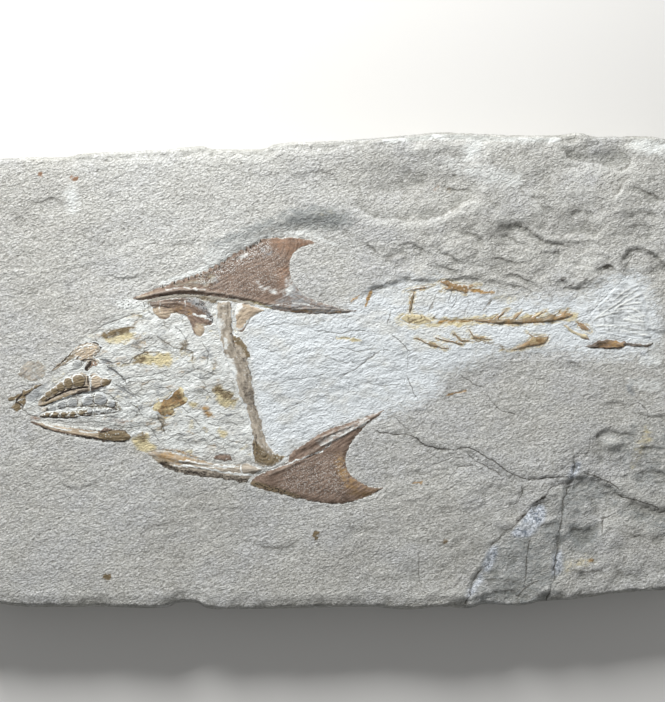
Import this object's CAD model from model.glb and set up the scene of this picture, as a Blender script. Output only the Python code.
"""Looks of a fossil fish in its slab of pale limestone: grained rock, bone, stains, calcite, cracks.

Plan places and heights are in millimetres in the lists and fields below, in the frame of the
construction, and become metres when they are written to a mesh. The face of the slab is up.
"""
import math

import bmesh
import bpy
import numpy as np
from mathutils import Matrix, Vector, noise


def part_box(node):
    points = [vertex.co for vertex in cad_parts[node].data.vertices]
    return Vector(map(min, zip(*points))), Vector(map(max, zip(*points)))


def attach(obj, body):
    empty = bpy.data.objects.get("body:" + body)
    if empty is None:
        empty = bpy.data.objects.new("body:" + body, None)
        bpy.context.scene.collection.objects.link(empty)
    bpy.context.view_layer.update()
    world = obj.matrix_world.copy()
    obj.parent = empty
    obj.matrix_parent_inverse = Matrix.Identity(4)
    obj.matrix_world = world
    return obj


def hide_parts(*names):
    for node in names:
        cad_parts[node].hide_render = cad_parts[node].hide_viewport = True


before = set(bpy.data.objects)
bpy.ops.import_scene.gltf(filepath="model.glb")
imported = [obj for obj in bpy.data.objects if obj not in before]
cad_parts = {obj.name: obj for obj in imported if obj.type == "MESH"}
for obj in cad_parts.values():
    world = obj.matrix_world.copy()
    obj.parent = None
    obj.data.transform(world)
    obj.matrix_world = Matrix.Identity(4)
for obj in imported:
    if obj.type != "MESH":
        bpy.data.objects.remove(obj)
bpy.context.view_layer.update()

MM = 0.001

# ---------------------------------------------------------------- the slab's form
FACE_HEIGHT = 20.0  # mean height of the split face above the back
CORNERS = ((-132.8, 74), (130, 80.5), (128, -79), (-132, -83))  # upper left, then clockwise
TOP_EDGE = [(-124, 76.5), (-110.5, 77.5), (-98.5, 77.5), (-89, 79), (-66.5, 80), (-48.5, 81.5),
            (-44.5, 80.5), (-26.5, 80.5), (-20, 82.5), (2, 83.5), (27, 85.5), (39.5, 86.5), (63, 85.5),
            (81, 85.5), (88, 86.5), (94, 85), (113.5, 85), (121.5, 83.5)]
RIGHT_EDGE = [(132.5, 67), (131, 47), (133.5, 25.5), (131.5, 4), (133.5, -21), (130.5, -46.5),
              (132, -68)]
BOTTOM_EDGE = [(119, -79.5), (102.5, -80.5), (88, -82.5), (75.5, -83.5), (66.5, -85), (54, -84.5),
               (48.5, -86), (38, -85.5), (25, -86.5), (12.5, -85.5), (-12.5, -86), (-30.5, -86.3),
               (-45, -86.3), (-50, -84), (-56.5, -84), (-63, -86), (-84.5, -85.5), (-111.5, -85.5),
               (-122.5, -84)]
LEFT_EDGE = [(-133.4, -68), (-132, -43), (-133.5, -17.5), (-131.5, 15), (-133.5, 47)]
RIM_INSET = 1.4  # how far in from the silhouette the face ends
# Stretches of the face's net: from, to, spacing of its lines, finer where the fish is.
COLUMN_SPANS = [(-133, -119, 1.8), (-119, 14, 0.58), (14, 119, 0.9), (119, 133, 1.8)]
ROW_SPANS = [(-86, -50, 1.05), (-50, 50, 0.58), (50, 86, 1.05)]

# Ledges drop away on the right of their walk: drop, width of the slope, way back up, line.
LEDGES = [
    (1.5, 6.4, 18, [(-49.5, 39), (-40.5, 45), (-32, 49.5), (-23.5, 53.5), (-14, 57), (-4.5, 58),
                    (3.5, 57), (8.5, 52)]),
    (0.7, 1.5, 60, [(3.5, 25.5), (9.5, 28.5), (17, 31.6), (25, 33.8), (31, 33.2), (40, 33.4),
                    (48.5, 35), (53, 34), (60, 32.6), (68, 30.4), (77.5, 26.6)]),
    (0.6, 1.8, 20, [(54, 52.2), (65, 54), (71, 51), (77, 47.6), (85, 47.2), (94.5, 48.2)]),
    (0.4, 1.2, 12, [(88, 54.4), (93, 53.5), (98.5, 51.2)]),
    (0.8, 1.4, 25, [(101, 37.5), (105, 43), (110, 45.2), (114, 43.4), (120, 38.5), (127, 35.5)]),
    (0.6, 1.2, 12, [(80, 32.6), (84, 30.4), (88.5, 31), (94, 35)]),
    (0.45, 1.0, 15, [(16, -22), (27.5, -23.4), (35, -27.8), (45, -28), (51.5, -29.5), (59.5, -34.4),
                    (67.5, -38.6), (76.5, -38.2)]),
    (0.9, 2.0, 40, [(82, -38.2), (90.5, -37.4), (96, -38.8), (103, -43.6), (110, -46.8),
                    (117, -48.8), (128, -46.5)]),
    (0.55, 1.2, 12, [(92, -24.3), (97, -21), (103.5, -21.6), (110, -22.5)]),
]
# Mounds (+) and hollows (-): middle, half widths, rise.
MOUNDS = [
    ((30, 67), (27, 15), -2.0), ((96, 75), (20, 9), -1.2), ((100, 62), (14, 6), 0.9),
    ((-74, -2), (52, 30), 1.3), ((-5, -14), (38, 16), -0.7), ((45, 9), (45, 14), 0.8),
    ((100, -26), (5, 4), 1.2), ((62, -60), (10, 7), -1.0), ((88, 50), (9, 5), -1.0),
]
LEDGE_ENDS, FLAKE_ENDS = 0.18, 0.25  # share of its chord over which each fades out at its ends
SWELLS = [(70.0, 0.8), (22.0, 0.35)]  # wavelength and height of the face's waves
# Open cracks across the face.
CRACKS = [
    [(75.5, -45.5), (72, -47), (69, -51), (62, -57.5), (57, -62.5), (54.5, -69), (50, -76),
     (48.5, -80), (47, -84)],
    [(86.5, -32), (85, -38.5), (82.5, -45.5), (81.5, -56), (79.5, -66), (79, -75), (77.5, -79),
     (76.5, -82.5)],
]
# Small flakes' edges, laid like the ledges but too low for the construction.
FLAKES = [
    (1.3, 3.6, 11, [(60, 59.5), (54, 58.5), (48, 59), (44, 57), (40, 54), (35, 52.4), (28, 52),
                    (20, 52.4), (12, 54), (4, 58), (-2, 62)]),
    (0.9, 1.8, 9, [(108, 74), (103, 73.4), (95, 73.6), (88, 74.4), (83, 76.4), (79, 80)]),
    (0.9, 1.1, 6, [(109, 77.5), (107, 74.5), (104, 71), (100, 69)]),
    (0.8, 1.6, 8, [(109, 71), (105, 67), (102, 63), (98, 59.5)]),
    (0.6, 1.0, 6, [(104, 65.5), (108, 66.2), (114, 64), (119, 62)]),
    (0.4, 0.9, 6, [(55, 51.6), (60, 52.6), (65, 53), (68, 52.2), (71, 50.2), (75, 47.8), (79, 46.4),
                   (84, 46.4), (90, 46.8), (94.5, 47.6)]),
    (0.5, 1.0, 5, [(74, 44.4), (78, 43.2), (82, 44.8)]), (0.3, 0.7, 4, [(89, 53.8), (93, 53), (98, 51)]),
    (0.5, 0.9, 5, [(90, 51.6), (93, 51), (96, 49.6)]), (0.7, 1.2, 6, [(46, 51), (50, 49.4), (55, 46.2)]),
    (0.4, 0.9, 6, [(43, 51.8), (47, 52), (52, 53.4)]), (0.5, 0.9, 6, [(34, 38.2), (40, 37.8), (45, 35.6)]),
    (0.5, 0.9, 7, [(58, 34.4), (62, 35.2), (65, 35.6), (69, 33.8), (73, 31.6), (77, 28), (80, 26)]),
    (0.7, 1.0, 5, [(80, 33.8), (83, 33), (85, 31.8)]), (0.3, 0.8, 4, [(81, 30.6), (87, 30.8), (93.5, 35)]),
    (0.8, 1.0, 5, [(94, 37.6), (98, 38.6), (101, 37.2)]), (0.4, 0.9, 5, [(101, 37.4), (104, 42), (106, 44)]),
    (0.4, 0.8, 4, [(92.5, 64), (96, 62.4), (99, 61.6)]), (0.4, 0.7, 4, [(54, 61.4), (59, 61)]),
    (0.4, 0.8, 4, [(74, 60.4), (80, 58.8)]), (0.5, 0.9, 5, [(38, 68), (43, 66.4), (48, 66), (52, 64.2)]),
    (0.35, 0.7, 4, [(60, 49.6), (66, 47), (72, 44)]), (0.35, 0.7, 4, [(56, 42), (62, 41), (68, 38)]),
    (0.4, 0.7, 4, [(84, 58.6), (90, 58), (94, 56)]), (0.35, 0.7, 4, [(66, 65), (72, 63.4), (77, 63.6)]),
    (0.4, 0.8, 5, [(100, 58), (106, 57.2), (112, 58.4), (118, 56)]),
    (0.4, 0.8, 5, [(104, 52.6), (110, 53), (116, 50.8)]), (0.4, 0.8, 5, [(8, 48.6), (13, 45), (17, 41.4)]),
    (0.35, 0.7, 4, [(24, 47), (30, 45.4), (34, 42)]), (0.35, 0.7, 4, [(36, 44.6), (42, 42), (46, 39)]),
    (0.35, 0.7, 5, [(28, 39.4), (22, 41.4), (17, 37.4)]), (0.4, 0.9, 6, [(21, 30.2), (16, 27.4), (10, 25)]),
    (0.5, 0.8, 5, [(83, 4.6), (88, 3), (92, 0.8)]), (0.3, 1.0, 6, [(95, -13.4), (101, -10.6), (106, -12.4)]),
    (0.3, 0.8, 5, [(92, -24.4), (96, -21.6), (99, -20.4), (104, -21.6)]),
    (0.4, 1.2, 5, [(94.5, -29), (97, -30.8), (100.5, -31.6), (105, -29.4)]),
    (0.6, 1.0, 7, [(108, -26.6), (113, -26.6), (121, -28)]),
    (0.6, 1.2, 7, [(108, -35.6), (114, -35.4), (122, -37.4)]),
    (0.5, 1.0, 7, [(106, -14.8), (113, -15.4), (122, -14)]), (0.5, 1.0, 7, [(110, 16), (116, 15), (124, 16)]),
    (0.5, 1.0, 7, [(80, -39), (85, -37.6), (90, -37.4), (95, -38.6), (100, -41), (104, -43.6)]),
    (0.4, 1.0, 8, [(104, -44), (110, -46.8), (115, -48.6), (122, -48.6), (130, -47)]),
    (0.9, 1.3, 8, [(101, -50), (98, -53.4), (96, -58), (93, -62), (88, -64.6)]),
    (0.8, 1.1, 6, [(70, -51.2), (72, -47), (76.5, -45.6)]),
    (0.6, 1.0, 7, [(52, -74.6), (62, -75), (72, -77.6)]),
    (0.6, 1.0, 6, [(53, -80), (62, -78.6), (73, -82)]), (0.5, 1.0, 6, [(84, -56), (90, -57), (95, -55)]),
    (0.5, 1.0, 6, [(72, -56.6), (76, -54.4), (82, -54)]), (0.5, 0.9, 6, [(84, -49), (90, -50), (97, -49)]),
    (0.4, 0.8, 6, [(84, -70), (92, -72), (100, -69)]), (0.4, 0.8, 6, [(98, -74), (106, -72.6), (113, -76)]),
    (0.4, 0.8, 5, [(106, -58), (113, -60), (121, -57)]), (0.35, 0.7, 5, [(-60, 45), (-54, 47), (-48, 49)]),
    (0.3, 0.7, 6, [(-100, -40), (-92, -41), (-84, -39)]),
    (0.35, 0.7, 6, [(-112, 60), (-102, 62.4), (-94, 60)]),
    (0.35, 0.7, 6, [(-30, -62), (-22, -63.4), (-12, -61.4)]),
    (0.3, 0.7, 6, [(-70, -56), (-60, -54), (-52, -56)]),
    (0.3, 0.7, 6, [(2, -55), (12, -57), (20, -54)]), (0.3, 0.7, 6, [(-60, 64), (-50, 62.4), (-40, 64)]),
    (0.35, 0.8, 6, [(-18, 70), (-6, 72.4), (4, 70)]), (0.3, 0.7, 6, [(-84, 36), (-76, 34), (-68, 35.6)]),
]

# Hair cracks: depth, half width, line.
HAIR_CRACKS = [
    (0.5, 0.4, [(16, -22), (22, -22.8), (27, -23.2), (30, -25), (33, -27), (37, -28), (42, -28.3)]),
    (0.35, 0.32, [(30, -25), (33, -29), (36, -30.5)]),
    (0.3, 0.3, [(19, -17), (21, -16.5), (25, -20), (28, -22)]),
    (0.5, 0.4, [(43, -27.9), (49, -28), (53, -30), (58, -33), (63, -36.5), (67, -38.5), (72, -39),
                (78, -38), (84, -38.5)]),
    (0.4, 0.35, [(47, -29), (51, -32.5), (55, -34.5), (59, -37)]),
    (0.3, 0.3, [(35, -34.2), (40, -32), (46, -31)]), (0.3, 0.3, [(41, -39), (44, -35), (50, -34)]),
    (0.4, 0.35, [(84, -40), (78, -42), (75.4, -46)]), (0.45, 0.35, [(70, -61), (69.2, -67), (68.7, -75.5)]),
    (0.4, 0.35, [(72.5, -75.5), (69, -78), (66, -81)]), (0.35, 0.35, [(67.5, -42.4), (67, -45), (65, -48)]),
    (0.5, 0.4, [(103, -45), (109.5, -47), (116, -49)]), (0.5, 0.4, [(90.5, -36.8), (96, -38.8), (102, -42)]),
    (0.4, 0.35, [(100, -51.6), (97, -54), (96, -58)]), (0.35, 0.35, [(88, -30), (87, -34), (86, -38)]),
    (0.35, 0.35, [(106, -13), (109.5, -11.6), (112, -14)]), (0.3, 0.3, [(30.4, -67), (30, -72), (30.6, -76)]),
    (0.3, 0.35, [(92, -24), (91, -29), (88, -34)]),
    (0.3, 0.3, [(55, -8.6), (58, -12.6), (61, -14.8), (65, -15.4)]),
    (0.25, 0.3, [(26.5, 6), (26, 2)]), (0.35, 0.35, [(26.5, -3), (27.5, -6), (29, -9)]),
    (0.35, 0.4, [(16, 7), (9, 2), (2, -2.5)]), (0.35, 0.35, [(40.5, -9.4), (44, -7.6), (47, -6.6)]),
    (0.3, 0.35, [(35.5, 19), (41.5, 18.5), (50, 18.5)]), (0.3, 0.35, [(46, -2), (50, -5), (53, -5.4)]),
    (0.3, 0.3, [(36, 26.2), (34.2, 22)]), (0.25, 0.3, [(44, 26.5), (42, 22.5)]),
    (0.25, 0.3, [(48, 24.5), (46.5, 20)]), (0.25, 0.3, [(56.5, 25.5), (53.5, 22)]),
    (0.25, 0.3, [(20, 21), (19, 17.5)]), (0.25, 0.3, [(43, 30), (41, 25.5)]),
    (0.35, 0.35, [(21.5, 12.5), (24, 10), (26.5, 7.5)]), (0.3, 0.3, [(104, 36), (107, 41)]),
]

# ---------------------------------------------------------------- the slab's colours by place
BODY_ZONE = [(-33.5, 25.5), (-26.5, 22.5), (-12.5, 20), (3.5, 20), (9.5, 25.5), (16, 27.5),
             (23.5, 30), (34, 32), (43, 29), (56, 26), (70, 24.5), (84.5, 24.5), (92.5, 26.5),
             (99.5, 31.5), (107.5, 33.5), (111.5, 28.5), (114, 21), (115, 13), (110, 8.5),
             (95.5, 7), (81, 9.5), (66.5, 9), (55.5, 7), (51.5, 5.5), (39, 0.5), (34, -7.5),
             (18.5, -13.5), (9, -16), (-2, -20.5), (-12.5, -26.5), (-21.5, -30.5), (-26.5, -27.5),
             (-28.5, -17.5), (-30, -3), (-32, 7.5), (-35, 13), (-34, 19)]
HEAD_ZONE = [(-113.5, -12), (-104.5, -7), (-99, 0.5), (-92, 9.5), (-84.5, 15), (-75.5, 21),
             (-66.5, 24), (-48.5, 21), (-36, 25.5), (-32, 7.5), (-29, -10.5), (-26.5, -28.5),
             (-36, -30.5), (-48.5, -29), (-61, -27.5), (-70, -25), (-77.5, -21), (-92, -17.5),
             (-106, -15)]
# Stains: mask, strength, softness of the edge, outline.
STAINS = [
    ("brown", 0.9, 1.2, [(-84, 12.4), (-81.5, 14.8), (-77.5, 15.8), (-72.5, 16.6), (-71.5, 15.4),
                         (-75, 13.8), (-79, 12.6), (-82.5, 11.6)]),
    ("yellow", 0.75, 1.8, [(-83, 12.5), (-73.5, 14.5), (-72, 13), (-76, 10), (-81, 9.6)]),
    ("yellow", 0.95, 1.8, [(-73.5, 2.5), (-72, 4.5), (-68.5, 6), (-64.5, 6.5), (-59.5, 6),
                           (-58.5, 4), (-60, 2), (-64.5, 2), (-68.5, 2.5), (-72, 2)]),
    ("brown", 0.7, 1.4, [(-73.5, 2.5), (-71.5, 4.5), (-69, 5.5), (-68, 3.5), (-71, 2)]),
    ("brown", 0.7, 1.4, [(-44, -7), (-42.5, -5.5), (-37, -8), (-35, -10), (-37, -10.5),
                          (-41.5, -8.5)]),
    ("yellow", 0.75, 1.4, [(-44, -7), (-42.5, -5.5), (-37, -8), (-35, -10), (-35.5, -12),
                           (-39, -13.5), (-41.5, -12.5), (-42.5, -10)]),
    ("amber", 0.75, 1.0, [(-48, -13), (-46, -12.5), (-43.5, -15.5), (-44, -17), (-46, -16.5)]),
    ("yellow", 0.6, 1.2, [(-53, -19), (-51.5, -18), (-50, -19.5), (-50.5, -21.5), (-52.5, -21.5)]),
    ("yellow", 0.6, 1.2, [(-53.5, -10), (-50.5, -11), (-49, -12.5), (-51, -13.5), (-52.5, -12)]),
    ("yellow", 0.7, 1.0, [(-42.5, -21.5), (-39.5, -21.5), (-38.5, -23), (-40, -24.5)]),
    ("yellow", 0.8, 1.3, [(-73, -25), (-71.5, -23.5), (-68, -22), (-67, -25), (-64.5, -27),
                          (-66, -29), (-70, -28.5)]),
    ("brown", 0.5, 1.0, [(-73, -23.5), (-69, -22), (-67.5, -24.5), (-70, -26)]),
    ("brown", 0.5, 1.0, [(-63.5, 11.5), (-59.5, 11), (-53.5, 11), (-53.5, 8.5), (-58.5, 8.5),
                         (-61.5, 10)]),
    ("yellow", 0.6, 1.0, [(-54, -28.6), (-51, -28.6), (-52, -30)]),
    ("brown", 0.6, 0.9, [(-64, -15.5), (-62.5, -15), (-61.5, -17.5), (-61, -21), (-62.5, -21),
                          (-63, -18)]),
    ("brown", 0.4, 0.8, [(-44.5, 3), (-42.5, 3.5), (-40.5, 1), (-40.5, -1.5), (-42, -1),
                         (-43, 1.5)]),
    ("brown", 0.95, 0.6, [(-67, 25), (-60, 27.6), (-50, 28.2), (-42, 27.2), (-34, 26.2), (-28, 24.8),
                         (-30, 23.4), (-36, 24.4), (-44, 25), (-52, 26), (-60, 25.2), (-66, 23.8)]),
    ("yellow", 0.4, 1.5, [(21, 18.5), (25, 21.5), (35, 20.5), (36.5, 17.5), (31, 15.5),
                          (24, 16)]),
    ("yellow", 0.28, 3.0, [(110, -21), (113.5, -20.5), (114, -26.5), (110.5, -30), (107, -35.5),
                           (108.5, -26.5)]),
    ("yellow", 0.22, 3.0, [(83, -69), (90, -66.5), (93.5, -69), (88, -72.5), (83, -72.5)]),
    ("yellow", 0.3, 2.0, [(57, 26), (63, 28), (66, 26), (62, 24.5)]),
    ("brown", 0.3, 0.8, [(39.5, 66), (41, 66.5), (42.5, 65), (41, 64)]),
    ("yellow", 0.1, 3.0, [(-12, 55), (-2, 59), (6, 57), (0, 53)]),
    ("brown", 0.6, 0.7, [(38.5, -60.5), (40.5, -60.5), (40.5, -62), (38.5, -62)]),
    ("chalk", 0.6, 3.0, [(46, 79.5), (48.5, 83), (52, 84), (53, 79.5), (50, 76), (47, 76)]),
    ("chalk", 0.6, 3.0, [(-96, 66), (-93, 65), (-92.5, 59), (-94.5, 57), (-96.5, 61)]),
    ("chalk", 0.4, 4.0, [(40, 77), (52, 74), (66, 71), (64, 66), (50, 70), (42, 73)]),
    ("chalk", 0.5, 2.0, [(107, 84), (119, 83), (120, 78), (108, 79)]),
    ("rust", 0.25, 0.8, [(35, 65.4), (37, 67.2), (38.2, 66), (36.4, 64.8)]),
    ("rust", 0.3, 0.8, [(-80.5, -17), (-75, -17.4), (-74.8, -19), (-79.6, -18.6)]),
    ("rust", 0.4, 0.8, [(-110, -16), (-106, -16.4), (-106, -17.4), (-109.6, -17.4)]),
    ("grey", 0.6, 0.8, [(-84.6, 3.6), (-81, 1.8), (-79.6, 2.8), (-82.5, 4.6)]),
    ("grey", 0.5, 1.2, [(105, -4), (108, -4.4), (107.6, -9), (105.4, -8.4)]),
    ("chalk", 0.5, 1.2, [(110, 2), (117, 2.4), (117, 6), (111, 5.6)]),
    ("chalk", 0.4, 1.5, [(105, -3), (117, -3), (117, -7), (109, -6.6)]),
    ("chalk", 0.5, 1.6, [(-47.6, 41.4), (-43, 44.6), (-36, 47.2), (-29.8, 49.4), (-27.4, 49.2),
                         (-31.4, 46.2), (-36, 43), (-43, 40.2), (-46.4, 39.6)]),
    ("chalk", 0.25, 1.6, [(-26.8, 51.2), (-20, 53.2), (-14.2, 53.6), (-6.2, 53.2), (2.4, 52.4),
                         (-6.2, 49.6), (-14.2, 49.8), (-22.2, 49.4)]),
    ("chalk", 0.75, 1.2, [(-78, 25.4), (-72, 26), (-67.6, 24.6), (-68, 22.2), (-77, 22.6)]),
    ("pits", 0.9, 1.0, [(-78, 25.4), (-72, 26), (-67.6, 24.6), (-68, 22.2), (-77, 22.6)]),
    ("grey", 0.6, 1.2, [(-111.2, -8.8), (-107.4, -6), (-103.4, -4.2), (-105, -8), (-106.6, -10.4),
                        (-110.8, -12)]),
    ("calcite", 1.0, 0.8, [(71, -48.5), (75, -48.5), (75.5, -53), (73, -57), (70, -59.5), (64, -59),
                           (66, -55.5), (69, -52)]),
    ("calcite", 0.9, 1.0, [(53.5, -69), (56, -63.5), (58.5, -63), (58, -66.5), (56, -71.5),
                           (53.5, -72.5)]),
    ("calcite", 0.8, 1.0, [(47, -81), (49.5, -76.5), (52, -73), (53.5, -74.5), (51, -79),
                           (48.5, -81.5)]),
    ("calcite", 0.8, 1.0, [(78.5, -66.5), (81, -64.5), (82, -68), (81, -73), (78.5, -74),
                           (78, -70)]),
    ("calcite", 0.9, 0.8, [(84, -38.5), (85.5, -34), (88, -33), (87.5, -37), (85.5, -39)]),
    ("calcite", 0.7, 0.8, [(110, 7), (112.5, 6), (115, 3.5), (112.5, 2.5)]),
    ("vein", 0.4, 6.0, [(47, -84), (52, -76), (55, -68), (60, -62), (66, -58), (74, -60),
                         (80, -62), (83, -68), (80, -76), (78, -84)]),
    ("vein", 0.35, 4.0, [(78, -46), (82, -42), (88, -36), (96, -40), (104, -43), (98, -46),
                        (90, -50), (84, -56), (80, -56)]),
    ("vein", 0.25, 5.0, [(96, -26), (104, -20), (118, -18), (124, -30), (122, -40), (112, -44),
                         (104, -38)]),
    ("vein", 0.75, 4.0, [(-44, 45), (-36, 49.5), (-24, 54.5), (-12, 58), (0, 58.5), (6, 55), (0, 51.5),
                         (-12, 52), (-24, 51.5), (-34, 47)]),
    ("vein", 0.4, 3.0, [(98, -46), (108, -49), (118, -52), (128, -50), (128, -60), (110, -56)]),
    ("vein", 0.5, 2.0, [(75, -55), (82, -54), (82, -62), (76, -61)]),
    ("vein", 0.5, 2.5, [(83, -55), (94, -55), (95, -62), (86, -65)]),
    ("vein", 0.4, 4.0, [(52, -76), (66, -75), (78, -77), (76, -84), (54, -84)]),
]
# Thin coloured lines: mask, strength, half width, line.
SLIVERS = [
    ("grey", 1.0, 0.6, [(-82, 1.4), (-79, -0.4), (-75, -3.6)]),
    ("grey", 0.7, 0.4, [(-80, -4.6), (-76, -6.6), (-72, -9.4)]),
    ("grey", 0.6, 0.35, [(-78.6, -8), (-75, -9.6), (-73, -11.6)]),
    ("amber", 0.8, 0.26, [(-82, 3.0), (-79.5, 2.6), (-77.2, 3)]),
    ("yellow", 0.5, 1.6, [(34, 17.4), (46, 18), (60, 18.4), (76, 18.8), (86, 19.6)]),
    ("amber", 0.7, 0.5, [(37, 17.6), (44, 18.2), (50, 18.2)]),
    ("brown", 0.7, 0.4, [(-58.5, 9), (-56, 8), (-51.5, 7), (-51, 4.5)]),
    ("brown", 0.9, 0.35, [(-7.8, -58.6), (-6.6, -57.8), (-5.8, -59), (-6.8, -60.2), (-7.8, -58.8)]),
    ("amber", 0.7, 0.35, [(28, -40), (31, -40.2)]), ("amber", 0.5, 0.35, [(40, -8.8), (47, -6.8)]),
    ("amber", 0.6, 0.35, [(91, -68), (93, -68.4)]),
    ("chalk", 0.5, 1.2, [(18, 83.2), (30, 84.2), (45, 84.6), (62, 83.6), (80, 83.6)]),
    ("dark", 0.8, 0.4, [(81.6, 32.8), (82.6, 32.8)]), ("dark", 0.8, 0.4, [(84.8, 31), (85.8, 31)]),
    ("dark", 0.8, 0.4, [(90, 33.1), (90.8, 33.1)]), ("dark", 0.8, 0.4, [(97.2, 37.4), (98, 37.4)]),
    ("dark", 0.7, 0.4, [(72, -47), (75.5, -45.5)]),
    ("dark", 0.7, 0.35, [(65, -54), (68, -52.2), (71, -50.8)]),
    ("brown", 0.9, 0.35, [(-83.2, 12.8), (-80, 14.4), (-76, 15), (-72.6, 15.6)]),
    ("brown", 0.8, 0.3, [(-73.2, 3.2), (-70.4, 6), (-67, 6.6), (-63, 6.8)]),
    ("brown", 0.7, 0.3, [(-44, -6.6), (-41, -7), (-37, -9), (-35, -10.6)]),
    ("amber", 0.6, 0.45, [(-66, -29), (-61, -28.4), (-56, -29.2), (-50, -31.2)]),
    ("chalk", 0.6, 1.0, [(-47.2, 37.0), (-40.6, 40.6), (-36, 43.2), (-32, 45.6), (-28, 47.6),
                         (-24, 48.6)]),
    ("chalk", 0.8, 0.8, [(-62, 31.8), (-54, 34.2), (-47.2, 37.0)]),
    ("chalk", 0.4, 0.6, [(-26, 48.4), (-22.2, 49.4), (-16.6, 49.8), (-10.8, 49.2), (-5, 47.6),
                         (1, 45.2)]),
    ("amber", 0.5, 0.35, [(6, 25), (9, 27.5)]), ("amber", 0.85, 0.5, [(11, 24), (13, 28.5)]),
    ("rust", 0.8, 0.5, [(-106.6, 71), (-105.6, 71)]), ("rust", 0.9, 0.6, [(-94.6, 69.4), (-93.4, 69.2)]),
    ("brown", 0.95, 0.8, [(-82.8, -74.4), (-81.2, -74.2)]),
    ("yellow", 0.7, 0.5, [(1, 12), (6, 11.5), (9.5, 11)]),
    ("brown", 0.35, 0.35, [(20, 21), (19, 17.5)]),
    ("brown", 0.3, 0.35, [(36, 26.2), (34.2, 22)]),
    ("brown", 0.3, 0.35, [(56.5, 25.5), (53.5, 22)]),
    ("brown", 0.5, 0.35, [(35.5, 19), (41.5, 18.5), (50, 18.5)]),
    ("amber", 0.8, 0.5, [(46, 29.6), (52, 28.6), (57, 28)]),
    ("brown", 0.45, 0.5, [(50, 11.5), (56, 10), (61, 8)]),
]

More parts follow.
